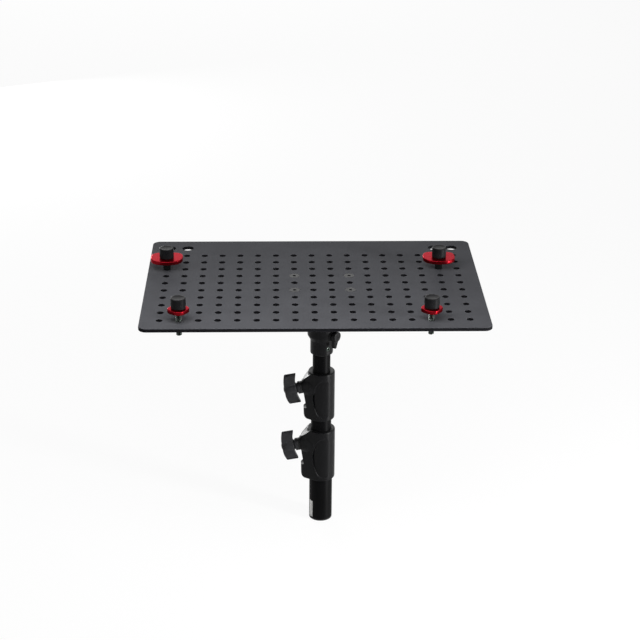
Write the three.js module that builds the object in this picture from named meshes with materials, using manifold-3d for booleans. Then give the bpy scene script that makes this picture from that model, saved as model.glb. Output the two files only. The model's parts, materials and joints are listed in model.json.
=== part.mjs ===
// A tethering table: a perforated plate with four cam clamps, on the head of a telescopic stand column.
// Millimetres, +Z up. The origin is the centre of the column's foot, on its axis; the user stands at -Y.
import * as THREE from 'three';
import { mergeVertices } from 'three/addons/utils/BufferGeometryUtils.js';
import Module from 'manifold-3d';

const wasm = await Module();
wasm.setup();

// Clearances
const MOVING_GAP = 0.3; // between two pieces that move on each other
const FITTED_GAP = 0.3; // between a piece and the hole that it is fixed in
const OVERRUN = 1; // how far a cutting shape passes the surface that it cuts

// Facets of a full turn
const TUBE_SIDES = 24;
const ROD_SIDES = 16;
const WASHER_SIDES = 12;
const SCREW_SIDES = 12;
const GRID_HOLE_SIDES = 8;
const CABLE_HOLE_SIDES = 16;
const KNOB_SIDES = 20;
const HEXAGON_SIDES = 6;
const CORNER_STEPS = 4;
const CURVE_STEPS = 6;
const CAM_SIDES = 24;

// Column tubes: each runs inside the one below
const BASE_TUBE_RADIUS = 16.5;
const TUBE_WALL = 1.5;
const TUBE_RUNNING_GAP = 0.5;
const GUIDE_GAP = 0.15;
const COLLAR_BORE_GAP = 0.25;
const BASE_TUBE_SHOWN_LENGTH = 67;
const MIDDLE_TUBE_SHOWN_LENGTH = 17.5;
const TOP_TUBE_SHOWN_LENGTH = 28.5;
const FOOT_PLUG_LENGTH = 14;
const FOOT_PLUG_FLANGE = 2;
const GUIDE_LENGTH = 12;
const GUIDE_STEM = 5;

// Cast collars that clamp a tube
const LOWER_COLLAR_RADIUS = 20;
const LOWER_COLLAR_HEIGHT = 78;
const LOWER_BLOCK_REACH = 9.5;
const UPPER_COLLAR_RADIUS = 19;
const UPPER_COLLAR_HEIGHT = 73;
const UPPER_BLOCK_REACH = 7;
const COLLAR_SEAT_DEPTH = 31;
const COLLAR_RIM = 2;
const COLLAR_BLOCK_NOSE_RADIUS = 10;
const COLLAR_BLOCK_SLANT = 1;
const COLLAR_BLOCK_CORNER = 8;
const COLLAR_SLOPE_DROP = 13;
const COLLAR_SCOOP_HALF_WIDTH = 16;
const COLLAR_SCOOP_DEPTH = 2.5;
const COLLAR_SCOOP_OUT = 3.5;
const COLLAR_SCOOP_AZIMUTH_DEG = 113;
const COLLAR_SCOOP_HEIGHT_SHARE = 0.49; // half of the cutting shape's height
const COLLAR_SCOOP_MIDDLE_SHARE = 0.47;
const BOSS_PROUD = 0.5;
const BOSS_DROP = 26;
const BOSS_RADIUS = 11;
const BOSS_ROOT_RADIUS = 15.5;
const BOSS_CONE_LENGTH = 9;
const SET_SCREW_RADIUS = 3;
const SET_SCREW_HEIGHT = 13.5;
const SET_SCREW_SUNK = 0.6;
const SET_SCREW_SOCKET_RADIUS = 1.6;
const SET_SCREW_SOCKET_DEPTH = 2;

// Clamp screws of the collars, which point out and a little down
const SCREW_TILT_DEG = 10;
const LOCK_BOLT_RADIUS = 4;
const LOCK_BOLT_IN_KNOB = 17;
const BRAKE_SHOE_RADIUS = 5.5;
const BRAKE_SHOE_THICKNESS = 4;
const BRAKE_SHOE_TRAVEL = 2.2;
const LOCK_WASHER_RADIUS = 9;
const LOCK_WASHER_THICKNESS = 3;
const WING_HUB_RADIUS = 9;
const WING_NECK_RADIUS = 8;
const WING_HUB_LENGTH = 23;
const WING_START = 6;
const WING_WIDTH = 16.6;
const WING_REACH = 23.2;
const WING_ROOT_THICKNESS = 12;
const WING_TIP_THICKNESS = 7.5;
const WING_SWEEP = 4;
const WING_EDGE = 1.5;
const WING_TURN_DEG = 8;

// Spigot on the top tube and the washer on its shoulder
const SPIGOT_RADIUS = 8;
const SPIGOT_LENGTH = 41;
const SPIGOT_ROOT = 45;
const SPIGOT_TIP_CHAMFER = 1.5;
const SPIGOT_WAIST_RADIUS = 6.3;
const SPIGOT_WAIST_START = 7;
const SPIGOT_WAIST_LENGTH = 13;
const SPIGOT_PIN_RADIUS = 2;
const SPIGOT_PIN_DEPTH = 36.5;
const THRUST_WASHER_THICKNESS = 1.5;

// Adapter casting under the plate
const ADAPTER_HEIGHT = 100;
const SOCKET_RADIUS = 16;
const SOCKET_LENGTH = 20.5;
const SOCKET_CHAMFER = 1.2;
const SOCKET_BORE_DEPTH = 44;
const NECK_RADIUS = 20;
const NECK_FLARE_HEIGHT = 7;
const NECK_TOP = 48;
const BELL_RADIUS = 31;
const FLANGE_SIDE_MARGIN = 10.9; // from the plate screws to the flange's edges
const FLANGE_END_MARGIN = 10.6;
const FLANGE_THICKNESS = 8;
const FLANGE_CORNER = 10;
const RIB_THICKNESS = 6;
const RIB_INSET = 3;
const STOP_SCREW_HEIGHT = 9.5;
const STOP_SCREW_AZIMUTH_DEG = -55;

// Lock lever on the adapter's neck
const LEVER_AZIMUTH_DEG = -40;
const LEVER_HEIGHT = 30.5;
const LEVER_BOSS_RADIUS = 8;
const LEVER_BOSS_ROOT = 12;
const LEVER_BOSS_REACH = 21.5;
const LEVER_SCREW_RADIUS = 3;
const LEVER_HUB_RADIUS = 7.3;
const LEVER_HUB_THICKNESS = 6.6;
const LEVER_ARM_LENGTH = 17;
const LEVER_ROOT_HALF_WIDTH = 6;
const LEVER_TIP_RADIUS = 2.6;
const LEVER_ARM_SIDE = -3;
const LEVER_ARM_THICKNESS = 5.4;
const LEVER_CAP_RADIUS = 3.8;
const LEVER_CAP_THICKNESS = 1.2;
const LEVER_SOCKET_RADIUS = 1.7;
const LOCK_PAD_RADIUS = 4;
const LOCK_PAD_THICKNESS = 4;
const LOCK_PAD_TRAVEL = 1.2;

// Perforated plate
const PLATE_WIDTH = 460;
const PLATE_DEPTH = 313.5;
const PLATE_THICKNESS = 5;
const PLATE_CORNER = 11;
const GRID_PITCH = 25.4;
const GRID_LEFT_MARGIN = 26.2;
const GRID_FRONT_MARGIN = 27.7;
const GRID_HOLE_FLATS = 8.5;
const CABLE_HOLE_RADIUS = 8;
const CABLE_ROW_MARGIN = 27.8;
const ADAPTER_SCREW_COLUMN_STEP = 1.5;
const ADAPTER_SCREW_ROW_STEP = 1;
const ADAPTER_SCREW_RADIUS = 4;
const ADAPTER_SCREW_HEAD_RADIUS = 7.6;
const ADAPTER_SCREW_HEAD_HEIGHT = 3.6;
const ADAPTER_SCREW_SOCKET_RADIUS = 2.6;
const ADAPTER_SCREW_SOCKET_DEPTH = 2.2;

// Cam clamps on studs in the plate's holes
const STUD_RADIUS = 4;
const STUD_BELOW_PLATE = 15.5;
const STUD_IN_KNOB = 10;
const SPACER_FLATS = 10.4;
const SPACER_HEIGHT = 12.4;
const SPACER_CHAMFER = 0.6;
const NUT_FLATS = 13;
const NUT_HEIGHT = 5;
const NUT_CHAMFER = 0.8;
const PLAIN_WASHER_RADIUS = 8;
const PLAIN_WASHER_THICKNESS = 1.4;
const CAM_THICKNESS = 5.3;
const CAM_CHAMFER = 0.7;
const BACK_CAM_HALF_WIDTH = 22.3;
const BACK_CAM_HALF_DEPTH = 18.6;
const BACK_CAM_OFFSET = 0.3;
const BACK_CAM_SQUARENESS_SHARES = [2.3, 3.4]; // in front and behind: 2 is an ellipse, more is squarer
const FRONT_CAM_HALF_SIZE = 12.8;
const FRONT_CAM_OFFSET = -1.3;
const FRONT_CAM_TURN_DEG = 52;
const FRONT_CAM_SQUARENESS_SHARES = [2.9, 2.9];
const CAP_WASHER_RADIUS = 7.5;
const CAP_WASHER_THICKNESS = 1.2;
const CAP_KNOB_RADIUS = 9.9;
const CAP_KNOB_HEIGHT = 13.8;
const CAP_KNOB_EDGE = 1.4;
const CAP_KNOB_ROOF = 2;

// Places worked out from the sizes
const MIDDLE_TUBE_RADIUS = BASE_TUBE_RADIUS - TUBE_WALL - TUBE_RUNNING_GAP;
const TOP_TUBE_RADIUS = MIDDLE_TUBE_RADIUS - TUBE_WALL - TUBE_RUNNING_GAP;
const LOWER_COLLAR_BASE = BASE_TUBE_SHOWN_LENGTH;
const LOWER_COLLAR_TOP = LOWER_COLLAR_BASE + LOWER_COLLAR_HEIGHT;
const UPPER_COLLAR_BASE = LOWER_COLLAR_TOP + MIDDLE_TUBE_SHOWN_LENGTH;
const UPPER_COLLAR_TOP = UPPER_COLLAR_BASE + UPPER_COLLAR_HEIGHT;
const ADAPTER_BASE = UPPER_COLLAR_TOP + TOP_TUBE_SHOWN_LENGTH;
const PLATE_UNDERSIDE = ADAPTER_BASE + ADAPTER_HEIGHT;
const PLATE_TOP = PLATE_UNDERSIDE + PLATE_THICKNESS;
const THRUST_WASHER_BASE = ADAPTER_BASE - MOVING_GAP - THRUST_WASHER_THICKNESS;
const TOP_TUBE_END = THRUST_WASHER_BASE - MOVING_GAP;
const MIDDLE_GUIDE_BASE = FOOT_PLUG_LENGTH + MIDDLE_TUBE_SHOWN_LENGTH + FITTED_GAP;
const TOP_GUIDE_BASE = MIDDLE_GUIDE_BASE + GUIDE_LENGTH + GUIDE_STEM + TOP_TUBE_SHOWN_LENGTH + FITTED_GAP;
const SPIGOT_PIN_HEIGHT = TOP_TUBE_END - SPIGOT_PIN_DEPTH;
const SPIGOT_BORE_RADIUS = SPIGOT_RADIUS + MOVING_GAP;
const STUD_HOLE_RADIUS = STUD_RADIUS + FITTED_GAP;
const FLANGE_WIDTH = 2 * (ADAPTER_SCREW_COLUMN_STEP * GRID_PITCH + FLANGE_SIDE_MARGIN);
const FLANGE_DEPTH = 2 * (ADAPTER_SCREW_ROW_STEP * GRID_PITCH + FLANGE_END_MARGIN);
const GRID_COLUMNS = Math.floor((PLATE_WIDTH - 2 * GRID_LEFT_MARGIN) / GRID_PITCH) + 1;
const GRID_ROWS = Math.floor((PLATE_DEPTH - GRID_FRONT_MARGIN - CABLE_ROW_MARGIN) / GRID_PITCH);
const CABLE_HOLE_COLUMNS = [0, 1, GRID_COLUMNS - 2, GRID_COLUMNS - 1];
const COLUMN_GRID_COLUMN = GRID_COLUMNS / 2; // the column's axis lies midway between two columns of holes
const COLUMN_GRID_ROW = Math.floor(GRID_ROWS / 2);
const FRONT_LEFT_CLAMP = [1, 0]; // column and row of the hole that holds it
const FRONT_RIGHT_CLAMP = [GRID_COLUMNS - 3, 0];
const BACK_LEFT_CLAMP = [0, GRID_ROWS - 3];
const BACK_RIGHT_CLAMP = [GRID_COLUMNS - 2, GRID_ROWS - 3];
const PLATE_LEFT = -GRID_LEFT_MARGIN - COLUMN_GRID_COLUMN * GRID_PITCH;
const PLATE_FRONT = -GRID_FRONT_MARGIN - COLUMN_GRID_ROW * GRID_PITCH;
const CAM_BASE = PLATE_TOP + SPACER_HEIGHT + MOVING_GAP;
const CAM_TOP = CAM_BASE + CAM_THICKNESS;
const BACK_CAM = {
  halfWidth: BACK_CAM_HALF_WIDTH, halfDepth: BACK_CAM_HALF_DEPTH, offset: BACK_CAM_OFFSET, turnDeg: 0,
  squareness: BACK_CAM_SQUARENESS_SHARES,
};
const FRONT_CAM = {
  halfWidth: FRONT_CAM_HALF_SIZE, halfDepth: FRONT_CAM_HALF_SIZE, offset: FRONT_CAM_OFFSET,
  turnDeg: FRONT_CAM_TURN_DEG, squareness: FRONT_CAM_SQUARENESS_SHARES,
};

const gridX = (column) => (column - COLUMN_GRID_COLUMN) * GRID_PITCH;
const gridY = (row) => (row - COLUMN_GRID_ROW) * GRID_PITCH;
const radians = (degrees) => THREE.MathUtils.degToRad(degrees);

// Finishes
function finish(color, roughness, metalness) {
  return new THREE.MeshStandardMaterial({ color, roughness, metalness });
}

const plateFinish = finish(0x37383b, 0.45, 0.3);
const castFinish = finish(0x161618, 0.5, 0.2);
const tubeFinish = finish(0x121214, 0.35, 0.6);
const plasticFinish = finish(0x1b1b1e, 0.5, 0);
const nylonFinish = finish(0x2a2a2c, 0.6, 0);
const steelFinish = finish(0xb9bcc0, 0.25, 1);
const redFinish = finish(0xb3142a, 0.3, 0.8);

const MERGE_DISTANCE = 1e-4;

// A closed mesh with shared vertices, no slivers and outward faces
function closed(geometry) {
  const bare = geometry.index ? geometry.toNonIndexed() : geometry.clone();
  bare.deleteAttribute('normal');
  bare.deleteAttribute('uv');
  const merged = mergeVertices(bare, MERGE_DISTANCE);
  const corners = merged.getIndex().array;
  const kept = [];
  for (let i = 0; i < corners.length; i += 3) {
    const [a, b, c] = [corners[i], corners[i + 1], corners[i + 2]];
    if (a !== b && b !== c && c !== a) kept.push(a, b, c);
  }
  merged.setIndex(kept);
  if (signedVolume(merged) < 0) {
    for (let i = 0; i < kept.length; i += 3) [kept[i], kept[i + 1]] = [kept[i + 1], kept[i]];
    merged.setIndex(kept);
  }
  return merged;
}

function signedVolume(geometry) {
  const places = geometry.getAttribute('position');
  const corners = geometry.getIndex().array;
  const [a, b, c] = [new THREE.Vector3(), new THREE.Vector3(), new THREE.Vector3()];
  let sum = 0;
  for (let i = 0; i < corners.length; i += 3) {
    a.fromBufferAttribute(places, corners[i]);
    b.fromBufferAttribute(places, corners[i + 1]);
    c.fromBufferAttribute(places, corners[i + 2]);
    sum += a.dot(b.cross(c));
  }
  return sum;
}

const solidOf = (geometry) => {
  const merged = closed(geometry);
  const vertProperties = new Float32Array(merged.getAttribute('position').array);
  const triVerts = new Uint32Array(merged.getIndex().array);
  return new wasm.Manifold(new wasm.Mesh({ numProp: 3, vertProperties, triVerts }));
};

function geometryOf(solid) {
  const mesh = solid.getMesh();
  const geometry = new THREE.BufferGeometry();
  geometry.setAttribute('position', new THREE.BufferAttribute(mesh.vertProperties, 3));
  geometry.setIndex(new THREE.BufferAttribute(mesh.triVerts, 1));
  return geometry;
}

function join(...geometries) {
  return geometryOf(geometries.map(solidOf).reduce((whole, next) => whole.add(next)));
}

function cut(body, ...tools) {
  return geometryOf(tools.map(solidOf).reduce((left, tool) => left.subtract(tool), solidOf(body)));
}

function common(one, other) {
  return geometryOf(solidOf(one).intersect(solidOf(other)));
}

// A turned solid about +Z, from [radius, height] points that start and end on the axis or close on themselves
function turned(points, sides) {
  const outline = points.map(([radius, height]) => new THREE.Vector2(radius, height));
  return closed(new THREE.LatheGeometry(outline, sides).rotateX(Math.PI / 2));
}

function ring(inner, outer, low, high, sides) {
  return turned([[inner, low], [outer, low], [outer, high], [inner, high], [inner, low]], sides);
}

function rod(radius, low, high, sides, chamfer = 0) {
  if (chamfer === 0) return turned([[0, low], [radius, low], [radius, high], [0, high]], sides);
  const edge = radius - chamfer;
  return turned([
    [0, low], [edge, low], [radius, low + chamfer], [radius, high - chamfer], [edge, high], [0, high],
  ], sides);
}

// A solid with a level outline, between two heights
function prism(shape, low, high, curveSegments = CURVE_STEPS) {
  const options = { depth: high - low, bevelEnabled: false, curveSegments };
  return closed(new THREE.ExtrudeGeometry(shape, options).translate(0, 0, low));
}

// An outline drawn in the XZ plane, given a thickness along Y about the plane
function upright(shape, thickness) {
  const options = { depth: thickness, bevelEnabled: false, curveSegments: CURVE_STEPS };
  const slab = new THREE.ExtrudeGeometry(shape, options).translate(0, 0, -thickness / 2);
  return closed(slab.rotateX(Math.PI / 2));
}

function roundedRectangle(left, front, width, depth, corner) {
  const [right, back] = [left + width, front + depth];
  const shape = new THREE.Shape();
  shape.moveTo(left + corner, front);
  shape.lineTo(right - corner, front);
  shape.absarc(right - corner, front + corner, corner, -Math.PI / 2, 0);
  shape.absarc(right - corner, back - corner, corner, 0, Math.PI / 2);
  shape.absarc(left + corner, back - corner, corner, Math.PI / 2, Math.PI);
  shape.absarc(left + corner, front + corner, corner, Math.PI, Math.PI * 3 / 2);
  return shape;
}

// Corners of a regular polygon whose flats lie at the given distance from its centre
function polygonPath(x, y, inradius, sides) {
  const radius = inradius / Math.cos(Math.PI / sides);
  const corners = [];
  for (let side = 0; side < sides; side += 1) {
    const angle = -(side + 1 / 2) * 2 * Math.PI / sides;
    corners.push(new THREE.Vector2(x + radius * Math.cos(angle), y + radius * Math.sin(angle)));
  }
  return new THREE.Path(corners);
}

const hexRadius = (flats) => flats / 2 / Math.cos(Math.PI / HEXAGON_SIDES);

function piece(parent, name, geometry, material) {
  const mesh = new THREE.Mesh(geometry, material);
  mesh.name = name;
  parent.add(mesh);
  return mesh;
}

// Cast collar: a barrel with a clamp block on its left, a sloped shoulder, a conical boss for the clamp screw
// and an oval hollow in front and behind
function collar(radius, reach, height, tubeBelow, tubeThrough) {
  const nose = COLLAR_BLOCK_NOSE_RADIUS;
  const noseCentre = reach - nose;
  const tangent = Math.acos((nose - radius) / noseCentre);
  const plan = new THREE.Shape();
  plan.absarc(0, 0, radius, -tangent, tangent);
  plan.absarc(-noseCentre, 0, nose, tangent, 2 * Math.PI - tangent);
  const across = 2 * (radius + reach);
  const side = blockSide(radius, reach, height, tubeThrough);
  const block = common(prism(plan, 0, height), upright(side, across));
  const barrel = turned([
    [0, 0], [radius - COLLAR_RIM, 0], [radius, COLLAR_RIM], [radius, height - COLLAR_RIM],
    [radius - COLLAR_RIM, height], [0, height],
  ], TUBE_SIDES);
  const lockFrame = lockFrameOf(reach, height);
  const boss = turned([
    [0, -reach], [BOSS_ROOT_RADIUS, -reach], [BOSS_ROOT_RADIUS, -BOSS_CONE_LENGTH],
    [BOSS_RADIUS, -COLLAR_RIM / 2], [BOSS_RADIUS - COLLAR_RIM / 2, 0], [0, 0],
  ], ROD_SIDES).applyMatrix4(lockFrame);
  const slope = blockSide(radius, reach + BOSS_PROUD + OVERRUN, height, tubeThrough);
  const bossInside = common(boss, upright(slope, across));
  const scoops = [-1, 1].map((side) => new THREE.SphereGeometry(1, SCREW_SIDES, SCREW_SIDES)
    .rotateX(Math.PI / 2)
    .scale(COLLAR_SCOOP_OUT + COLLAR_SCOOP_DEPTH, COLLAR_SCOOP_HALF_WIDTH, COLLAR_SCOOP_HEIGHT_SHARE * height)
    .translate(radius + COLLAR_SCOOP_OUT, 0, height * COLLAR_SCOOP_MIDDLE_SHARE)
    .rotateZ(side * radians(COLLAR_SCOOP_AZIMUTH_DEG)));
  const bores = turned([
    [0, -OVERRUN], [tubeBelow + FITTED_GAP, -OVERRUN], [tubeBelow + FITTED_GAP, COLLAR_SEAT_DEPTH],
    [tubeThrough + COLLAR_BORE_GAP, COLLAR_SEAT_DEPTH], [tubeThrough + COLLAR_BORE_GAP, height + OVERRUN],
    [0, height + OVERRUN],
  ], TUBE_SIDES);
  const pocketEnd = BRAKE_SHOE_TRAVEL - shoeOuterEnd(reach, tubeThrough);
  const shoePocket = rod(BRAKE_SHOE_RADIUS + MOVING_GAP, -reach, pocketEnd, ROD_SIDES);
  const boltHole = rod(LOCK_BOLT_RADIUS + MOVING_GAP, -reach, OVERRUN, SCREW_SIDES);
  const setScrewHole = rod(SET_SCREW_RADIUS + FITTED_GAP, tubeBelow - TUBE_WALL, reach + OVERRUN, SCREW_SIDES)
    .rotateY(-Math.PI / 2).translate(0, 0, SET_SCREW_HEIGHT);
  const washerSeat = rod(BOSS_RADIUS, 0, reach, ROD_SIDES).applyMatrix4(lockFrame);
  const hollowed = cut(join(block, barrel), washerSeat, ...scoops);
  return cut(join(hollowed, bossInside), bores, shoePocket.applyMatrix4(lockFrame),
    boltHole.applyMatrix4(lockFrame), setScrewHole);
}

// The clamp block seen from the front: sloped on top, a little slanted on its flank, rounded below
function blockSide(radius, reach, height, tubeThrough) {
  const shoulder = tubeThrough + COLLAR_RIM;
  const foot = COLLAR_BLOCK_SLANT - reach;
  const side = new THREE.Shape();
  side.moveTo(radius, 0);
  side.lineTo(radius, height);
  side.lineTo(-shoulder, height);
  side.lineTo(-reach, height - COLLAR_SLOPE_DROP);
  side.lineTo(foot, COLLAR_BLOCK_CORNER);
  side.quadraticCurveTo(foot, 0, foot + COLLAR_BLOCK_CORNER, 0);
  return side;
}

// How far inside the boss's face the brake shoe ends on the screw's side
function shoeOuterEnd(reach, tubeThrough) {
  const faceToTube = (reach + BOSS_PROUD - tubeThrough) / Math.cos(radians(SCREW_TILT_DEG));
  return faceToTube - MOVING_GAP - BRAKE_SHOE_THICKNESS;
}

// The clamp screw's frame in a collar's own frame: origin at the boss's face, +Z out along the screw
function lockFrameOf(reach, height) {
  const place = new THREE.Matrix4().makeTranslation(-reach - BOSS_PROUD, 0, height - BOSS_DROP);
  const turn = new THREE.Matrix4().makeRotationY(-Math.PI / 2 - radians(SCREW_TILT_DEG));
  return place.multiply(turn);
}

function setScrew(inner, outer) {
  const body = rod(SET_SCREW_RADIUS, inner, outer, SCREW_SIDES);
  const socketStart = outer - SET_SCREW_SOCKET_DEPTH;
  const socket = rod(SET_SCREW_SOCKET_RADIUS, socketStart, outer + OVERRUN, HEXAGON_SIDES);
  return cut(body, socket);
}

function wingKnob() {
  const start = LOCK_WASHER_THICKNESS + MOVING_GAP;
  const low = start + WING_START;
  const hubEnd = start + WING_HUB_LENGTH;
  const hub = turned([
    [0, start], [WING_HUB_RADIUS, start], [WING_HUB_RADIUS, low], [WING_NECK_RADIUS, low + WING_EDGE],
    [WING_NECK_RADIUS, hubEnd - WING_EDGE], [WING_NECK_RADIUS - WING_EDGE, hubEnd], [0, hubEnd],
  ], ROD_SIDES);
  const half = WING_ROOT_THICKNESS / 2;
  const tip = WING_TIP_THICKNESS / 2;
  const shape = new THREE.Shape();
  shape.moveTo(-half, 0);
  shape.quadraticCurveTo(-half, WING_REACH / 2, WING_SWEEP - tip, WING_REACH - tip);
  shape.absarc(WING_SWEEP, WING_REACH - tip, tip, Math.PI, 0, true);
  shape.quadraticCurveTo(half, WING_REACH / 2, half, 0);
  shape.quadraticCurveTo(half, -WING_REACH / 2, tip - WING_SWEEP, tip - WING_REACH);
  shape.absarc(-WING_SWEEP, tip - WING_REACH, tip, 0, -Math.PI, true);
  shape.quadraticCurveTo(-half, -WING_REACH / 2, -half, 0);
  const wings = prism(shape, low, low + WING_WIDTH).rotateZ(Math.PI / 2 + radians(WING_TURN_DEG));
  const holeEnd = LOCK_BOLT_IN_KNOB + FITTED_GAP;
  return cut(join(hub, wings), rod(LOCK_BOLT_RADIUS + FITTED_GAP, start - OVERRUN, holeEnd, SCREW_SIDES));
}

// Washer, bolt, wing knob and brake shoe of one collar
function collarLock(parent, prefix, reach, height, tubeThrough) {
  const group = new THREE.Group();
  lockFrameOf(reach, height).decompose(group.position, group.quaternion, group.scale);
  parent.add(group);
  const shoeEnd = shoeOuterEnd(reach, tubeThrough);
  const washer = ring(LOCK_BOLT_RADIUS + FITTED_GAP, LOCK_WASHER_RADIUS, MOVING_GAP, LOCK_WASHER_THICKNESS,
    TUBE_SIDES);
  piece(group, `${prefix}_lock_washer`, washer, nylonFinish);
  const bolt = rod(LOCK_BOLT_RADIUS, MOVING_GAP - shoeEnd, LOCK_BOLT_IN_KNOB, SCREW_SIDES);
  piece(group, `${prefix}_lock_bolt`, bolt, steelFinish);
  piece(group, `${prefix}_wing_knob`, wingKnob(), plasticFinish);
  const tube = rod(tubeThrough + MOVING_GAP, -height, height, TUBE_SIDES)
    .translate(0, 0, height - BOSS_DROP).applyMatrix4(lockFrameOf(reach, height).invert());
  const inner = shoeEnd + 2 * BRAKE_SHOE_THICKNESS;
  const shoe = cut(rod(BRAKE_SHOE_RADIUS, -inner, -shoeEnd, ROD_SIDES), tube);
  piece(group, `${prefix}_brake_shoe`, shoe, nylonFinish);
}

function guide(tubeRadius, outerRadius) {
  const stem = tubeRadius - TUBE_WALL - FITTED_GAP;
  return turned([
    [0, 0], [outerRadius, 0], [outerRadius, GUIDE_LENGTH], [stem, GUIDE_LENGTH],
    [stem, GUIDE_LENGTH + GUIDE_STEM], [0, GUIDE_LENGTH + GUIDE_STEM],
  ], TUBE_SIDES);
}

function buildColumn(root) {
  const baseInner = BASE_TUBE_RADIUS - TUBE_WALL;
  const middleInner = MIDDLE_TUBE_RADIUS - TUBE_WALL;
  const plugStem = baseInner - FITTED_GAP;
  const plug = turned([
    [0, 0], [BASE_TUBE_RADIUS, 0], [BASE_TUBE_RADIUS, FOOT_PLUG_FLANGE],
    [plugStem, FOOT_PLUG_FLANGE], [plugStem, FOOT_PLUG_LENGTH], [0, FOOT_PLUG_LENGTH],
  ], TUBE_SIDES);
  piece(root, 'base_tube_plug', plug, nylonFinish);
  const baseEnd = LOWER_COLLAR_BASE + COLLAR_SEAT_DEPTH - FITTED_GAP;
  const baseTube = ring(baseInner, BASE_TUBE_RADIUS, FOOT_PLUG_FLANGE, baseEnd, TUBE_SIDES);
  piece(root, 'base_tube', baseTube, tubeFinish);

  const middleEnd = UPPER_COLLAR_BASE + COLLAR_SEAT_DEPTH - FITTED_GAP;
  const middleStart = MIDDLE_GUIDE_BASE + GUIDE_LENGTH;
  piece(root, 'middle_tube_guide', guide(MIDDLE_TUBE_RADIUS, baseInner - GUIDE_GAP)
    .translate(0, 0, MIDDLE_GUIDE_BASE), nylonFinish);
  const middleTube = ring(middleInner, MIDDLE_TUBE_RADIUS, middleStart, middleEnd, TUBE_SIDES);
  piece(root, 'middle_tube', middleTube, tubeFinish);

  const topStart = TOP_GUIDE_BASE + GUIDE_LENGTH;
  piece(root, 'top_tube_guide', guide(TOP_TUBE_RADIUS, middleInner - GUIDE_GAP)
    .translate(0, 0, TOP_GUIDE_BASE), nylonFinish);
  const topTube = ring(TOP_TUBE_RADIUS - TUBE_WALL, TOP_TUBE_RADIUS, topStart, TOP_TUBE_END, TUBE_SIDES);
  const holeReach = TOP_TUBE_RADIUS + OVERRUN;
  const pinHole = rod(SPIGOT_PIN_RADIUS + FITTED_GAP, -holeReach, holeReach, SCREW_SIDES)
    .rotateX(Math.PI / 2).translate(0, 0, SPIGOT_PIN_HEIGHT);
  piece(root, 'top_tube', cut(topTube, pinHole), tubeFinish);

  const rootRadius = TOP_TUBE_RADIUS - TUBE_WALL - FITTED_GAP;
  const waistTop = TOP_TUBE_END + SPIGOT_WAIST_START + SPIGOT_WAIST_LENGTH;
  const spigotEnd = TOP_TUBE_END + SPIGOT_LENGTH;
  const spigot = turned([
    [0, TOP_TUBE_END - SPIGOT_ROOT], [rootRadius, TOP_TUBE_END - SPIGOT_ROOT], [rootRadius, TOP_TUBE_END],
    [SPIGOT_RADIUS, TOP_TUBE_END], [SPIGOT_RADIUS, TOP_TUBE_END + SPIGOT_WAIST_START],
    [SPIGOT_WAIST_RADIUS, TOP_TUBE_END + SPIGOT_WAIST_START + SPIGOT_TIP_CHAMFER],
    [SPIGOT_WAIST_RADIUS, waistTop - SPIGOT_TIP_CHAMFER], [SPIGOT_RADIUS, waistTop],
    [SPIGOT_RADIUS, spigotEnd - SPIGOT_TIP_CHAMFER], [SPIGOT_RADIUS - SPIGOT_TIP_CHAMFER, spigotEnd],
    [0, spigotEnd],
  ], TUBE_SIDES);
  piece(root, 'spigot', cut(spigot, pinHole), steelFinish);
  const pinReach = TOP_TUBE_RADIUS - COLLAR_BORE_GAP;
  const pin = rod(SPIGOT_PIN_RADIUS, -pinReach, pinReach, SCREW_SIDES)
    .rotateX(Math.PI / 2).translate(0, 0, SPIGOT_PIN_HEIGHT);
  piece(root, 'spigot_pin', pin, steelFinish);
  piece(root, 'thrust_washer', ring(SPIGOT_BORE_RADIUS, TOP_TUBE_RADIUS, THRUST_WASHER_BASE,
    THRUST_WASHER_BASE + THRUST_WASHER_THICKNESS, TUBE_SIDES), nylonFinish);
}

function buildCollar(root, prefix, base, radius, blockReach, height, tubeBelow, tubeThrough) {
  const group = new THREE.Group();
  group.position.z = base;
  root.add(group);
  const reach = radius + blockReach;
  piece(group, `${prefix}_collar`, collar(radius, reach, height, tubeBelow, tubeThrough), castFinish);
  const screw = setScrew(tubeBelow + FITTED_GAP, reach - COLLAR_BLOCK_SLANT - SET_SCREW_SUNK);
  piece(group, `${prefix}_collar_set_screw`, screw.rotateY(-Math.PI / 2).translate(0, 0, SET_SCREW_HEIGHT),
    steelFinish);
  collarLock(group, prefix, reach, height, tubeThrough);
}

// Gusset from the neck to the flange, in the plane of the axis, on the side given by the turn about +Z
function rib(reach, turnDeg) {
  const under = ADAPTER_HEIGHT - FLANGE_THICKNESS;
  const shape = new THREE.Shape();
  shape.moveTo(NECK_RADIUS / 2, NECK_TOP);
  shape.lineTo(NECK_RADIUS, NECK_TOP);
  shape.lineTo(reach, under);
  shape.lineTo(reach, under + FLANGE_THICKNESS / 2);
  shape.lineTo(NECK_RADIUS / 2, under + FLANGE_THICKNESS / 2);
  return upright(shape, RIB_THICKNESS).rotateZ(radians(turnDeg));
}

function adapterScrewPlaces() {
  const places = [];
  for (const column of [-ADAPTER_SCREW_COLUMN_STEP, ADAPTER_SCREW_COLUMN_STEP]) {
    for (const row of [-ADAPTER_SCREW_ROW_STEP, ADAPTER_SCREW_ROW_STEP]) {
      places.push([column * GRID_PITCH, row * GRID_PITCH]);
    }
  }
  return places;
}

// A frame on the neck whose +Z points out of the lever's boss
function leverFrame() {
  const tilt = new THREE.Matrix4().makeRotationZ(radians(LEVER_AZIMUTH_DEG));
  const lay = new THREE.Matrix4().makeRotationY(Math.PI / 2);
  return new THREE.Matrix4().makeTranslation(0, 0, LEVER_HEIGHT).multiply(tilt).multiply(lay);
}

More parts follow.
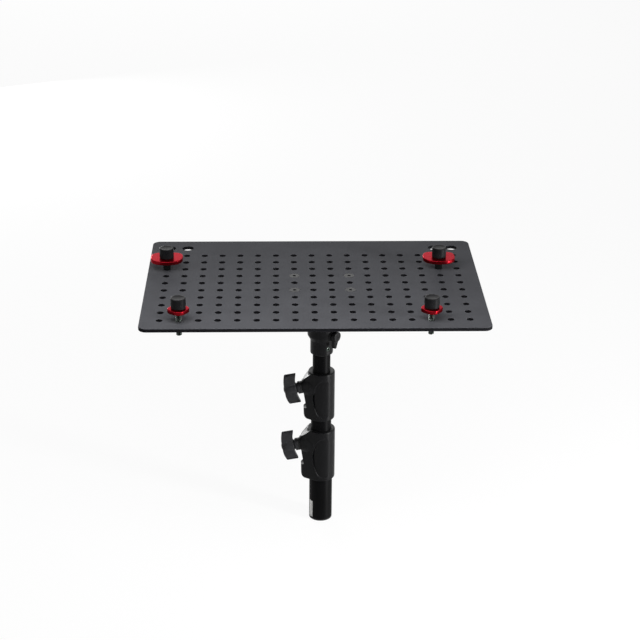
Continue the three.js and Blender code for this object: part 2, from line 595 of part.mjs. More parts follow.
function buildAdapter(root) {
  const group = new THREE.Group();
  group.position.z = ADAPTER_BASE;
  root.add(group);
  const under = ADAPTER_HEIGHT - FLANGE_THICKNESS;
  const flareTop = SOCKET_LENGTH + NECK_FLARE_HEIGHT;
  const body = turned([
    [0, SOCKET_BORE_DEPTH], [SPIGOT_BORE_RADIUS, SOCKET_BORE_DEPTH], [SPIGOT_BORE_RADIUS, 0],
    [SOCKET_RADIUS - SOCKET_CHAMFER, 0], [SOCKET_RADIUS, SOCKET_CHAMFER], [SOCKET_RADIUS, SOCKET_LENGTH],
    [NECK_RADIUS, flareTop], [NECK_RADIUS, NECK_TOP], [BELL_RADIUS, under],
    [BELL_RADIUS, under + FLANGE_THICKNESS / 2], [0, under + FLANGE_THICKNESS / 2],
  ], TUBE_SIDES);
  const flange = prism(roundedRectangle(-FLANGE_WIDTH / 2, -FLANGE_DEPTH / 2, FLANGE_WIDTH, FLANGE_DEPTH,
    FLANGE_CORNER), under, ADAPTER_HEIGHT, CORNER_STEPS);
  const wide = FLANGE_WIDTH / 2 - RIB_INSET;
  const deep = FLANGE_DEPTH / 2 - RIB_INSET;
  const frame = leverFrame();
  const boss = rod(LEVER_BOSS_RADIUS, LEVER_BOSS_ROOT, LEVER_BOSS_REACH, ROD_SIDES);
  const padPocketEnd = SPIGOT_BORE_RADIUS + LOCK_PAD_THICKNESS + LOCK_PAD_TRAVEL;
  const padPocket = rod(LOCK_PAD_RADIUS + MOVING_GAP, SPIGOT_RADIUS / 2, padPocketEnd, ROD_SIDES);
  const bossEnd = LEVER_BOSS_REACH + OVERRUN;
  const screwHole = rod(LEVER_SCREW_RADIUS + MOVING_GAP, SPIGOT_RADIUS / 2, bossEnd, SCREW_SIDES);
  const stopHole = rod(SET_SCREW_RADIUS + FITTED_GAP, SPIGOT_RADIUS / 2, SOCKET_RADIUS + OVERRUN, SCREW_SIDES)
    .rotateY(Math.PI / 2).rotateZ(radians(STOP_SCREW_AZIMUTH_DEG)).translate(0, 0, STOP_SCREW_HEIGHT);
  const plateScrewHole = rod(ADAPTER_SCREW_RADIUS + FITTED_GAP, under - OVERRUN, ADAPTER_HEIGHT + OVERRUN,
    SCREW_SIDES);
  const screwHoles = adapterScrewPlaces().map(([x, y]) => plateScrewHole.clone().translate(x, y, 0));
  const casting = join(body, flange, rib(wide, 0), rib(deep, 90), rib(wide, 180), rib(deep, 270),
    boss.applyMatrix4(frame));
  const bore = rod(SPIGOT_BORE_RADIUS, -OVERRUN, SOCKET_BORE_DEPTH, TUBE_SIDES);
  const adapter = cut(casting, bore, padPocket.applyMatrix4(frame), screwHole.applyMatrix4(frame), stopHole,
    ...screwHoles);
  piece(group, 'stand_adapter', adapter, castFinish);
  const stop = setScrew(SPIGOT_BORE_RADIUS + FITTED_GAP, SOCKET_RADIUS - SET_SCREW_SUNK)
    .rotateY(Math.PI / 2).rotateZ(radians(STOP_SCREW_AZIMUTH_DEG)).translate(0, 0, STOP_SCREW_HEIGHT);
  piece(group, 'socket_set_screw', stop, steelFinish);
  buildLever(group, frame);
}

function buildLever(parent, frame) {
  const group = new THREE.Group();
  frame.decompose(group.position, group.quaternion, group.scale);
  parent.add(group);
  const padEnd = SPIGOT_BORE_RADIUS + LOCK_PAD_THICKNESS;
  const spigot = rod(SPIGOT_BORE_RADIUS, -LEVER_HEIGHT, LEVER_HEIGHT, TUBE_SIDES)
    .rotateZ(radians(-LEVER_AZIMUTH_DEG)).rotateY(-Math.PI / 2);
  const pad = cut(rod(LOCK_PAD_RADIUS, SPIGOT_RADIUS / 2, padEnd, ROD_SIDES), spigot);
  piece(group, 'lock_pad', pad, nylonFinish);
  const hubStart = LEVER_BOSS_REACH + MOVING_GAP;
  const hubEnd = hubStart + LEVER_HUB_THICKNESS;
  const screwEnd = hubEnd - LEVER_CAP_THICKNESS - MOVING_GAP;
  const screw = rod(LEVER_SCREW_RADIUS, padEnd + MOVING_GAP, screwEnd, SCREW_SIDES);
  piece(group, 'lever_screw', screw, steelFinish);

  const arm = new THREE.Shape();
  const tipDown = LEVER_ARM_LENGTH - LEVER_TIP_RADIUS;
  arm.moveTo(0, LEVER_ROOT_HALF_WIDTH);
  arm.lineTo(0, -LEVER_ROOT_HALF_WIDTH);
  arm.lineTo(tipDown, LEVER_ARM_SIDE - LEVER_TIP_RADIUS);
  arm.absarc(tipDown, LEVER_ARM_SIDE, LEVER_TIP_RADIUS, -Math.PI / 2, Math.PI / 2);
  const hub = rod(LEVER_HUB_RADIUS, hubStart, hubEnd, TUBE_SIDES, MOVING_GAP);
  const arms = prism(arm, hubStart, hubStart + LEVER_ARM_THICKNESS);
  const hole = rod(LEVER_SCREW_RADIUS + FITTED_GAP, hubStart - OVERRUN, hubEnd + OVERRUN, SCREW_SIDES);
  const capStart = hubEnd - LEVER_CAP_THICKNESS;
  const recess = rod(LEVER_CAP_RADIUS + FITTED_GAP, capStart, hubEnd + OVERRUN, ROD_SIDES);
  piece(group, 'lock_lever', cut(join(hub, arms), hole, recess), castFinish);
  const cap = rod(LEVER_CAP_RADIUS, capStart, hubEnd, ROD_SIDES);
  const key = rod(LEVER_SOCKET_RADIUS, hubEnd - LEVER_CAP_THICKNESS / 2, hubEnd + OVERRUN, HEXAGON_SIDES);
  piece(group, 'lever_cap', cut(cap, key), steelFinish);
}

function buildPlate(root) {
  const shape = roundedRectangle(PLATE_LEFT, PLATE_FRONT, PLATE_WIDTH, PLATE_DEPTH, PLATE_CORNER);
  const screws = adapterScrewPlaces();
  const isScrewPlace = (x, y) => screws.some(([screwX, screwY]) =>
    Math.hypot(x - screwX, y - screwY) < GRID_PITCH / 2);
  for (let column = 0; column < GRID_COLUMNS; column += 1) {
    for (let row = 0; row < GRID_ROWS; row += 1) {
      const [x, y] = [gridX(column), gridY(row)];
      if (!isScrewPlace(x, y)) shape.holes.push(polygonPath(x, y, GRID_HOLE_FLATS / 2, GRID_HOLE_SIDES));
    }
  }
  const cableY = PLATE_FRONT + PLATE_DEPTH - CABLE_ROW_MARGIN;
  for (const column of CABLE_HOLE_COLUMNS) {
    shape.holes.push(polygonPath(gridX(column), cableY, CABLE_HOLE_RADIUS, CABLE_HOLE_SIDES));
  }
  const sink = countersunk(FITTED_GAP, PLATE_UNDERSIDE - OVERRUN, PLATE_TOP + OVERRUN);
  const sinks = screws.map(([x, y]) => sink.clone().translate(x, y, 0));
  const plate = prism(shape, PLATE_UNDERSIDE, PLATE_TOP, CORNER_STEPS);
  piece(root, 'table_plate', cut(plate, ...sinks), plateFinish);
  const socketStart = PLATE_TOP - ADAPTER_SCREW_SOCKET_DEPTH;
  const socket = rod(ADAPTER_SCREW_SOCKET_RADIUS, socketStart, PLATE_TOP + OVERRUN, HEXAGON_SIDES);
  const screw = cut(countersunk(0, PLATE_UNDERSIDE - FLANGE_THICKNESS, PLATE_TOP), socket);
  for (const [x, y] of screws) {
    const name = `adapter_screw_${y < 0 ? 'front' : 'back'}_${x < 0 ? 'left' : 'right'}`;
    piece(root, name, screw.clone(), steelFinish).position.set(x, y, 0);
  }
}

// A countersunk screw whose head is flush with the plate's top, or with a gap the room that it needs
function countersunk(gap, low, high) {
  const neck = PLATE_TOP - ADAPTER_SCREW_HEAD_HEIGHT;
  const rim = high > PLATE_TOP ? [[ADAPTER_SCREW_HEAD_RADIUS + gap, high]] : [];
  return turned([
    [0, low], [ADAPTER_SCREW_RADIUS + gap, low], [ADAPTER_SCREW_RADIUS + gap, neck],
    [ADAPTER_SCREW_HEAD_RADIUS + gap, PLATE_TOP], ...rim, [0, high],
  ], SCREW_SIDES);
}

// Corners of a rounded cam, which turns about a stud at the origin
function camOutline(form, inset) {
  const corners = [];
  const centre = new THREE.Vector2();
  for (let side = 0; side < CAM_SIDES; side += 1) {
    const angle = side * 2 * Math.PI / CAM_SIDES;
    const [c, s] = [Math.cos(angle), Math.sin(angle)];
    const power = 2 / form.squareness[s < 0 ? 0 : 1];
    const x = Math.sign(c) * (form.halfWidth - inset) * Math.abs(c) ** power;
    const y = Math.sign(s) * (form.halfDepth - inset) * Math.abs(s) ** power;
    const corner = new THREE.Vector2(x, y).rotateAround(centre, radians(form.turnDeg));
    corners.push([corner.x, corner.y + form.offset]);
  }
  return corners;
}

// A cam plate with both edges bevelled, from one outline at four heights
function cam(form) {
  const levels = [
    [CAM_BASE, CAM_CHAMFER], [CAM_BASE + CAM_CHAMFER, 0], [CAM_TOP - CAM_CHAMFER, 0], [CAM_TOP, CAM_CHAMFER],
  ];
  const places = [];
  for (const [height, inset] of levels) {
    for (const [x, y] of camOutline(form, inset)) places.push(x, y, height);
  }
  const faces = [];
  for (let level = 0; level < levels.length - 1; level += 1) {
    for (let side = 0; side < CAM_SIDES; side += 1) {
      const [a, b] = [level * CAM_SIDES + side, level * CAM_SIDES + (side + 1) % CAM_SIDES];
      faces.push(a, b, b + CAM_SIDES, a, b + CAM_SIDES, a + CAM_SIDES);
    }
  }
  const last = (levels.length - 1) * CAM_SIDES;
  for (let side = 1; side < CAM_SIDES - 1; side += 1) {
    faces.push(0, side + 1, side, last, last + side, last + side + 1);
  }
  const geometry = new THREE.BufferGeometry();
  geometry.setAttribute('position', new THREE.Float32BufferAttribute(places, 3));
  geometry.setIndex(faces);
  const hole = rod(STUD_RADIUS + MOVING_GAP, CAM_BASE - OVERRUN, CAM_TOP + OVERRUN, SCREW_SIDES);
  return cut(geometry, hole);
}

function hexPost(flats, low, high, chamfer) {
  const radius = hexRadius(flats);
  const post = rod(radius, low, high, HEXAGON_SIDES, chamfer);
  const hole = rod(STUD_HOLE_RADIUS, low - OVERRUN, high + OVERRUN, SCREW_SIDES);
  return cut(post, hole);
}

// One cam clamp on a hole of the grid
function buildClamp(root, prefix, [column, row], camShape) {
  const group = new THREE.Group();
  group.position.set(gridX(column), gridY(row), 0);
  root.add(group);
  const knobBase = CAM_TOP + MOVING_GAP;
  const washerTop = knobBase + CAP_WASHER_THICKNESS;
  const studTop = washerTop + STUD_IN_KNOB;
  const nutTop = PLATE_UNDERSIDE - PLAIN_WASHER_THICKNESS;
  piece(group, `${prefix}_stud`, rod(STUD_RADIUS, PLATE_UNDERSIDE - STUD_BELOW_PLATE, studTop, SCREW_SIDES,
    SPACER_CHAMFER), steelFinish);
  const spacer = hexPost(SPACER_FLATS, PLATE_TOP, PLATE_TOP + SPACER_HEIGHT, SPACER_CHAMFER);
  piece(group, `${prefix}_spacer`, spacer, steelFinish);
  piece(group, `${prefix}_lower_washer`, ring(STUD_HOLE_RADIUS, PLAIN_WASHER_RADIUS, nutTop, PLATE_UNDERSIDE,
    WASHER_SIDES), steelFinish);
  piece(group, `${prefix}_nut`, hexPost(NUT_FLATS, nutTop - NUT_HEIGHT, nutTop, NUT_CHAMFER), steelFinish);
  piece(group, `${prefix}_cam`, camShape, redFinish);
  piece(group, `${prefix}_upper_washer`, ring(STUD_HOLE_RADIUS, CAP_WASHER_RADIUS, knobBase, washerTop,
    WASHER_SIDES), steelFinish);
  const top = knobBase + CAP_KNOB_HEIGHT;
  const knob = rod(CAP_KNOB_RADIUS, knobBase, top, KNOB_SIDES, CAP_KNOB_EDGE);
  const recess = rod(CAP_WASHER_RADIUS + 2 * MOVING_GAP, knobBase - OVERRUN, washerTop + MOVING_GAP,
    WASHER_SIDES);
  const bore = rod(STUD_HOLE_RADIUS, knobBase, top - CAP_KNOB_ROOF, SCREW_SIDES);
  piece(group, `${prefix}_knob`, cut(knob, recess, bore), plasticFinish);
}

const table = new THREE.Group();
buildColumn(table);
buildCollar(table, 'lower', LOWER_COLLAR_BASE, LOWER_COLLAR_RADIUS, LOWER_BLOCK_REACH, LOWER_COLLAR_HEIGHT,
  BASE_TUBE_RADIUS, MIDDLE_TUBE_RADIUS);
buildCollar(table, 'upper', UPPER_COLLAR_BASE, UPPER_COLLAR_RADIUS, UPPER_BLOCK_REACH, UPPER_COLLAR_HEIGHT,
  MIDDLE_TUBE_RADIUS, TOP_TUBE_RADIUS);
buildAdapter(table);
buildPlate(table);
buildClamp(table, 'front_left', FRONT_LEFT_CLAMP, cam(FRONT_CAM));
buildClamp(table, 'front_right', FRONT_RIGHT_CLAMP, cam(FRONT_CAM));
buildClamp(table, 'back_left', BACK_LEFT_CLAMP, cam(BACK_CAM));
buildClamp(table, 'back_right', BACK_RIGHT_CLAMP, cam(BACK_CAM));

export default table;
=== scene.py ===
"""Looks of the tethering table: smooth forms, finishes, camera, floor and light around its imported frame.

Metres, +Z up. The origin is the centre of the column's foot, and the user stands at -Y.
"""

import json
import math

import bmesh
import bpy
from mathutils import Matrix, Vector
from mathutils.geometry import tessellate_polygon

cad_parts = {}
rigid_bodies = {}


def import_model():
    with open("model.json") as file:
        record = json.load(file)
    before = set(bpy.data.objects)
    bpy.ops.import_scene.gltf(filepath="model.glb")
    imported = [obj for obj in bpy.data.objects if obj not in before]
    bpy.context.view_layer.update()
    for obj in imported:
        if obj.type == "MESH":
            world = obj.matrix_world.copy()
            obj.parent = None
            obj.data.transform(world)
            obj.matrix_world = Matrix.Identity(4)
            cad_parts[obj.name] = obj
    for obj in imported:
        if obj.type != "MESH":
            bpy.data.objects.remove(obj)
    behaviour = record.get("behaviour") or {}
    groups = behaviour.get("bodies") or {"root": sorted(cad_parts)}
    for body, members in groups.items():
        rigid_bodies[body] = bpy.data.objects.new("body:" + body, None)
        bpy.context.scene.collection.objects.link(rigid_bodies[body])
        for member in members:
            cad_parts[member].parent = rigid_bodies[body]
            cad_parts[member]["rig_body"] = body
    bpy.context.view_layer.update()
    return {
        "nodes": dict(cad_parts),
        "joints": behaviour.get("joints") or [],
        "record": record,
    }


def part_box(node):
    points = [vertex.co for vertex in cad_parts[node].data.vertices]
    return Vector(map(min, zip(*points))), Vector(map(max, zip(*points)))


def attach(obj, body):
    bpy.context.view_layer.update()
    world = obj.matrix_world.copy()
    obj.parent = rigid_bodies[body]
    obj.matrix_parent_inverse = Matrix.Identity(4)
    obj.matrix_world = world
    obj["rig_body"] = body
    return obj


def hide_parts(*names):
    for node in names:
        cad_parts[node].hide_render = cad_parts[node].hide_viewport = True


MM = 0.001
TINY = 1e-7
TURN = 2 * math.pi

# Facets and mesh sizes of the smooth forms
FINE_SIDES = 96
SMALL_SIDES = 48
HOLE_SIDES = 28
ARC_STEPS = 10
MOST_OF_AN_EDGE = 0.45  # the share of an edge that one softened corner may take
SHARP_ANGLE_DEG = 32
RIM_STEPS = 3
# Castings: mesh size and rounds of smoothing
COLLAR_CASTING = (0.62 * MM, 6)
ADAPTER_CASTING = (0.8 * MM, 5)
KNOB_CASTING = (0.42 * MM, 4)
LEVER_CASTING = (0.4 * MM, 3)
SMOOTHING = 0.5

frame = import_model()
joints = {joint["name"]: joint for joint in frame["joints"]}
slot_of = {row["node"]: row["material_slot"] for row in frame["record"]["subparts"]}
body_of = {name: node["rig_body"] for name, node in frame["nodes"].items()}
plate_screws = [name for name in frame["nodes"] if name.startswith("adapter_screw")]


# Small geometry helpers

def arc(centre, radius, start_deg, end_deg, steps=ARC_STEPS):
    """Points on an arc, both ends included."""
    x, y = centre
    points = []
    for step in range(steps + 1):
        angle = math.radians(start_deg + (end_deg - start_deg) * step / steps)
        points.append((x + radius * math.cos(angle), y + radius * math.sin(angle)))
    return points


def circle(centre, radius, sides):
    """A circle's points, counter-clockwise."""
    return arc(centre, radius, 0, 360, sides)[:-1]


def curve(start, control, end, steps=ARC_STEPS):
    """Points of a quadratic curve, without its start."""
    a, b, c = Vector(start), Vector(control), Vector(end)
    shares = [step / steps for step in range(1, steps + 1)]
    return [tuple(a * (1 - s) ** 2 + b * (2 * s * (1 - s)) + c * s ** 2) for s in shares]


def softened(points, reach, is_open=False):
    """The outline with each corner turned into a small curve that starts that far from it."""
    kept = []
    count = len(points)
    for index, point in enumerate(points):
        if is_open and index in (0, count - 1):
            kept.append(tuple(point))
            continue
        corner = Vector(point)
        before = Vector(points[index - 1]) - corner
        after = Vector(points[(index + 1) % count]) - corner
        cut = min(reach, before.length * MOST_OF_AN_EDGE, after.length * MOST_OF_AN_EDGE)
        start = corner + before.normalized() * cut
        kept.append(tuple(start))
        kept += curve(start, corner, corner + after.normalized() * cut, RIM_STEPS)
    return kept


def moved_in(points, distance):
    """The outline moved to its left by a distance. Material lies to the left of its direction."""
    moved = []
    count = len(points)
    for index, point in enumerate(points):
        along = Vector(points[(index + 1) % count]) - Vector(points[index - 1])
        along.normalize()
        moved.append((point[0] - along.y * distance, point[1] + along.x * distance))
    return moved


def rim_rings(low, high, edge, steps=RIM_STEPS):
    """Rings of (inset, height) of a wall between two heights, with both rims rounded."""
    shares = [step * math.pi / 2 / steps for step in range(steps + 1)]
    below = [(edge * (1 - math.sin(s)), low + edge * (1 - math.cos(s))) for s in shares]
    return below + [(inset, high + low - height) for inset, height in reversed(below)]


def middle_of(node):
    """The middle of a node's box."""
    low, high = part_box(node)
    return (low + high) / 2


def middle_height(node):
    """The height of the middle of a node's box."""
    low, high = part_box(node)
    return (low.z + high.z) / 2


def frame_matrix(origin, z_axis, y_axis):
    """A frame at a point, from its +Z and +Y directions."""
    z, y = Vector(z_axis).normalized(), Vector(y_axis).normalized()
    x = y.cross(z)
    return Matrix.Translation(Vector(origin)) @ Matrix((x, y, z)).transposed().to_4x4()


# Mesh helpers

def shade(piece):
    """Smooth shading with sharp edges kept."""
    piece.data.shade_smooth()
    piece.data.set_sharp_from_angle(angle=math.radians(SHARP_ANGLE_DEG))
    return piece


def flatten(piece):
    """Makes the piece's large flat faces shade flat right up to their rounded rims."""
    weighted = piece.modifiers.new("Weighted Normal", "WEIGHTED_NORMAL")
    weighted.keep_sharp = True
    return settle(piece)


def to_piece(name, mesh_data, matrix):
    """A new object from a bmesh, with its faces pointing out."""
    bmesh.ops.recalc_face_normals(mesh_data, faces=mesh_data.faces)
    mesh_data.transform(matrix)
    mesh = bpy.data.meshes.new(name)
    mesh_data.to_mesh(mesh)
    mesh_data.free()
    piece = bpy.data.objects.new(name, mesh)
    bpy.context.scene.collection.objects.link(piece)
    return shade(piece)


def lathe(name, profile, sides=FINE_SIDES, matrix=Matrix.Identity(4)):
    """A body turned about +Z from (radius, height) points. The last joins the first, except on the axis."""
    made = bmesh.new()
    rings = []
    for radius, height in profile:
        if radius < TINY:
            rings.append([made.verts.new((0, 0, height))] * sides)
        else:
            rings.append([made.verts.new((x, y, height)) for x, y in circle((0, 0), radius, sides)])
    on_axis = profile[0][0] < TINY
    pairs = list(zip(rings, rings[1:])) + ([] if on_axis else [(rings[-1], rings[0])])
    for low, high in pairs:
        for side in range(sides):
            after = (side + 1) % sides
            corners = list(dict.fromkeys([low[side], low[after], high[after], high[side]]))
            if len(corners) > 2:
                made.faces.new(corners)
    return to_piece(name, made, matrix)


def rod(name, radius, start, end, matrix=Matrix.Identity(4), sides=SMALL_SIDES):
    """A plain round body along +Z, to cut with or to keep within."""
    return lathe(name, [(0, start), (radius, start), (radius, end), (0, end)], sides, matrix)


def slab(name, outlines, matrix=Matrix.Identity(4)):
    """A flat body from (points, rings) outlines: the outside, counter-clockwise, then holes, clockwise.

    A ring is (inset, height), from the bottom up, and every outline has its own.
    """
    made = bmesh.new()
    bottoms, tops = [], []
    for points, rings in outlines:
        loops = [[made.verts.new((x, y, height)) for x, y in moved_in(points, inset)]
                 for inset, height in rings]
        for low, high in zip(loops, loops[1:]):
            for side in range(len(low)):
                after = (side + 1) % len(low)
                made.faces.new([low[side], low[after], high[after], high[side]])
        bottoms.append(loops[0])
        tops.append(loops[-1])
    for loops in (bottoms, tops):
        corners = [corner for loop in loops for corner in loop]
        for triangle in tessellate_polygon([[corner.co for corner in loop] for loop in loops]):
            made.faces.new([corners[index] for index in triangle])
    return to_piece(name, made, matrix)


def settle(piece):
    """Applies the piece's modifiers."""
    graph = bpy.context.evaluated_depsgraph_get()
    mesh = bpy.data.meshes.new_from_object(piece.evaluated_get(graph))
    piece.modifiers.clear()
    piece.data = mesh
    return piece


def combine(piece, operation, *tools):
    """Joins tools to a piece, cuts them from it or keeps what it shares with them."""
    for tool in tools:
        modifier = piece.modifiers.new(operation, "BOOLEAN")
        modifier.operation = operation
        modifier.solver = "EXACT"
        modifier.object = tool
        settle(piece)
        bpy.data.objects.remove(tool)
    return shade(piece)


def cast(piece, mesh_size, rounds):
    """Turns a sharp body into one with the soft edges and fillets of a casting."""
    remesh = piece.modifiers.new("Remesh", "REMESH")
    remesh.mode = "VOXEL"
    remesh.voxel_size = mesh_size
    smooth = piece.modifiers.new("Smooth", "SMOOTH")
    smooth.factor = SMOOTHING
    smooth.iterations = rounds
    return shade(settle(piece))


# Finishes

PATCH_SIZE = 35 * MM  # of the slow drift in tone
PATCH_DETAIL = 3.0
PATCH_LIMITS = (0.35, 0.65)
SHEEN_GRAINS = 8  # the size of a patch of sheen, in grains
SHEEN_LIMITS = (0.3, 0.7)
SHEEN_DRIFT = 0.12
WORN_LIMITS = (0.515, 0.6)  # how pointed an edge is where wear begins, and where it is full
SIDE_SHADE_LIMITS = (0.3, 0.8)  # how far up a face points where the painted shade on upright faces begins to fade, and where it is gone
ALONG_AXIS = 0.25  # turns the spread shine of a drawn piece along its axis


def link(tree, output, target):
    """Joins two sockets."""
    tree.links.new(output, target)


def noise(tree, place, size, detail=2.0):
    """Noise whose grains have about that size in metres."""
    node = tree.nodes.new("ShaderNodeTexNoise")
    node.inputs["Scale"].default_value = 1 / size
    node.inputs["Detail"].default_value = detail
    link(tree, place, node.inputs["Vector"])
    return node.outputs["Fac"]


def map_range(tree, value, low, high, to_low, to_high):
    """A value's range turned into another one."""
    node = tree.nodes.new("ShaderNodeMapRange")
    for name, number in (("From Min", low), ("From Max", high), ("To Min", to_low), ("To Max", to_high)):
        node.inputs[name].default_value = number
    link(tree, value, node.inputs["Value"])
    return node.outputs["Result"]


def mix_colors(tree, share, one, other):
    """A colour between two, each a tuple or a socket."""
    node = tree.nodes.new("ShaderNodeMix")
    node.data_type = "RGBA"
    link(tree, share, node.inputs["Factor"])
    for socket, color in ((node.inputs["A"], one), (node.inputs["B"], other)):
        if isinstance(color, tuple):
            socket.default_value = (*color, 1)
        else:
            link(tree, color, socket)
    return node.outputs["Result"]


def make_finish(name, color, roughness, grain, depth, metallic=0.0, specular=0.5, mottle=0.12,
                streaks=(1, 1, 1), wear=0.0, worn=None, sides=None, tint=(1, 1, 1), drawn=0.0):
    """A procedural finish: its colour and roughness wander, and it has a grain and worn edges.

    Upright faces may take a darker colour of their own as painted shade, and a drawn piece spreads its shine
    along its axis.
    """
    made = bpy.data.materials.new(name)
    made.use_nodes = True
    tree = made.node_tree
    shader = tree.nodes["Principled BSDF"]
    shader.inputs["Metallic"].default_value = metallic
    shader.inputs["Specular IOR Level"].default_value = specular
    shader.inputs["Specular Tint"].default_value = (*tint, 1)
    shader.inputs["Anisotropic"].default_value = drawn
    shader.inputs["Anisotropic Rotation"].default_value = ALONG_AXIS if drawn else 0
    place = tree.nodes.new("ShaderNodeTexCoord").outputs["Object"]
    stretch = tree.nodes.new("ShaderNodeMapping")
    stretch.inputs["Scale"].default_value = streaks
    link(tree, place, stretch.inputs["Vector"])
    drift = noise(tree, place, PATCH_SIZE, PATCH_DETAIL)
    fine = noise(tree, stretch.outputs["Vector"], grain)
    medium = noise(tree, stretch.outputs["Vector"], SHEEN_GRAINS * grain)
    darker = tuple(channel * (1 - mottle) for channel in color)
    lighter = tuple(channel * (1 + mottle) for channel in color)
    tone = mix_colors(tree, map_range(tree, drift, *PATCH_LIMITS, 0, 1), darker, lighter)
    if wear:
        edges = tree.nodes.new("ShaderNodeNewGeometry").outputs["Pointiness"]
        share = map_range(tree, edges, *WORN_LIMITS, 0, wear)
        tone = mix_colors(tree, share, tone, worn)
    # Painted shade: faces that stand upright, such as edges and hole walls, take the darker sides colour.
    if sides:
        face = tree.nodes.new("ShaderNodeSeparateXYZ")
        link(tree, tree.nodes.new("ShaderNodeNewGeometry").outputs["True Normal"], face.inputs["Vector"])
        flat = tree.nodes.new("ShaderNodeMath")
        flat.operation = "ABSOLUTE"
        link(tree, face.outputs["Z"], flat.inputs[0])
        share = map_range(tree, flat.outputs["Value"], *SIDE_SHADE_LIMITS, 0, 1)
        tone = mix_colors(tree, share, sides, tone)
    link(tree, tone, shader.inputs["Base Color"])
    rough = map_range(tree, medium, *SHEEN_LIMITS, roughness * (1 - SHEEN_DRIFT), roughness * (1 + SHEEN_DRIFT))
    link(tree, rough, shader.inputs["Roughness"])
    bump = tree.nodes.new("ShaderNodeBump")
    bump.inputs["Strength"].default_value = 1
    bump.inputs["Distance"].default_value = depth
    link(tree, fine, bump.inputs["Height"])
    link(tree, bump.outputs["Normal"], shader.inputs["Normal"])
    return made


FINISHES = {
    # The plate's darker sides colour is painted shade on its edges and hole walls.
    "plate_grey": make_finish(
        "satin_plate", (0.06, 0.061, 0.067), roughness=0.45, grain=0.35 * MM, depth=0.006 * MM,
        specular=0.005, mottle=0.05, sides=(0.006, 0.006, 0.007)),
    "cast_black": make_finish(
        "cast_black", (0.0035, 0.0035, 0.0039), roughness=0.4, grain=0.9 * MM, depth=0.006 * MM,
        specular=0.085, wear=0.3, worn=(0.02, 0.02, 0.02), drawn=0.75),
    "tube_black": make_finish(
        "tube_black", (0.0015, 0.0015, 0.0017), roughness=0.5, grain=0.3 * MM, depth=0.001 * MM,
        specular=0.042, streaks=(1, 1, 0.03), drawn=0.8),
    "plastic_black": make_finish(
        "plastic_black", (0.0035, 0.0035, 0.0041), roughness=0.4, grain=0.4 * MM, depth=0.004 * MM,
        specular=0.035, wear=0.3, worn=(0.03, 0.03, 0.03)),
    "nylon": make_finish(
        "nylon", (0.012, 0.012, 0.012), roughness=0.5, grain=0.6 * MM, depth=0.008 * MM, specular=0.2),
    "steel": make_finish(
        "zinc_plate", (0.075, 0.09, 0.08), roughness=0.18, grain=0.25 * MM, depth=0.002 * MM,
        metallic=1.0, mottle=0.06),
    "red_anodised": make_finish(
        "red_anodised", (0.125, 0.003, 0.006), roughness=0.28, grain=0.3 * MM, depth=0.001 * MM,
        metallic=0.9, specular=0.1, mottle=0.05, tint=(1, 0.5, 0.52)),
}
DARK_STEEL = make_finish(
    "dark_steel", (0.008, 0.008, 0.0085), roughness=0.35, grain=0.25 * MM, depth=0.002 * MM,
    specular=0.08, mottle=0.06)
MOULDED_PLASTIC = make_finish(
    "moulded_plastic", (0.015, 0.015, 0.0162), roughness=0.42, grain=0.4 * MM, depth=0.004 * MM,
    specular=0.09, wear=0.4, worn=(0.08, 0.08, 0.08))
PALE_STRIP = make_finish(
    "pale_strip", (0.5, 0.5, 0.49), roughness=0.5, grain=0.4 * MM, depth=0.004 * MM, specular=0.2,
    mottle=0.03)


def dress(piece, node, finish=None):
    """Gives a piece its node's body, and the finish of its node's slot unless it has one of its own."""
    slot = slot_of[node]
    piece.data.materials.clear()
    piece.data.materials.append(finish or FINISHES[slot])
    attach(piece, body_of[node])


def finish_piece(piece, node, finish=None):
    """Dresses a piece and puts it in its node's place."""
    dress(piece, node, finish)
    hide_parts(node)


def finish_cad_nodes():
    """Every node that stays shown gets its procedural finish too."""
    for name, node in frame["nodes"].items():
        node.data.materials.clear()
        node.data.materials.append(FINISHES[slot_of[name]])


# Column

TUBE_WALL = 1.5 * MM
TUBE_EDGE = 0.35 * MM
TURNED_EDGE = 0.3 * MM
THRUST_WASHER_HOLE_RADIUS = 8.3 * MM
TUBES_IN_COLLAR = {"lower": ("base_tube", "middle_tube"), "upper": ("middle_tube", "top_tube")}
COLLAR_SCREW_REACH = 1.6 * MM  # the set screw ends that far inside the collar's widest reach
COLLAR_NOSE = 10 * MM
COLLAR_EDGE = 1.6 * MM
COLLAR_SLOPE_DROP = 13 * MM
COLLAR_FOOT_CURVE = 8 * MM
COLLAR_SLANT = 1 * MM
COLLAR_SHOULDER_MARGIN = 2 * MM
COLLAR_SEAT_DEPTH = 31 * MM
COLLAR_GAP = 0.25 * MM
SCREW_HOLE_RADIUS = 4.3 * MM
SET_SCREW_HOLE_RADIUS = 3.3 * MM
BOSS_FACE_RADIUS = 10.6 * MM
BOSS_ROOT_RADIUS = 15.5 * MM
BOSS_CONE = 9 * MM
HOLLOW_MIDDLE = 3 * MM
HOLLOW_HALF_WIDTH = 15.5 * MM
HOLLOW_HEIGHT_SHARES = (0.47, 0.4)  # of its middle, and of half its height
HOLLOW_DEPTH = 1.1 * MM
HOLLOW_SHIFT = 2 * MM


def build_tube(node):
    """A drawn tube with eased rims in place of its faceted node."""
    low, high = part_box(node)
    outer = high.y
    inner = outer - TUBE_WALL
    profile = softened([(inner, low.z), (outer, low.z), (outer, high.z), (inner, high.z)], TUBE_EDGE)
    finish_piece(lathe(f"{node}_drawn", profile), node)


def build_turned_ring(node, inner):
    """A washer about its own centre, with eased rims."""
    low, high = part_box(node)
    outer = (high.x - low.x) / 2
    middle = middle_of(node)
    profile = softened([(inner, low.z), (outer, low.z), (outer, high.z), (inner, high.z)], TURNED_EDGE)
    matrix = Matrix.Translation((middle.x, middle.y, 0))
    finish_piece(lathe(f"{node}_turned", profile, SMALL_SIDES, matrix), node)


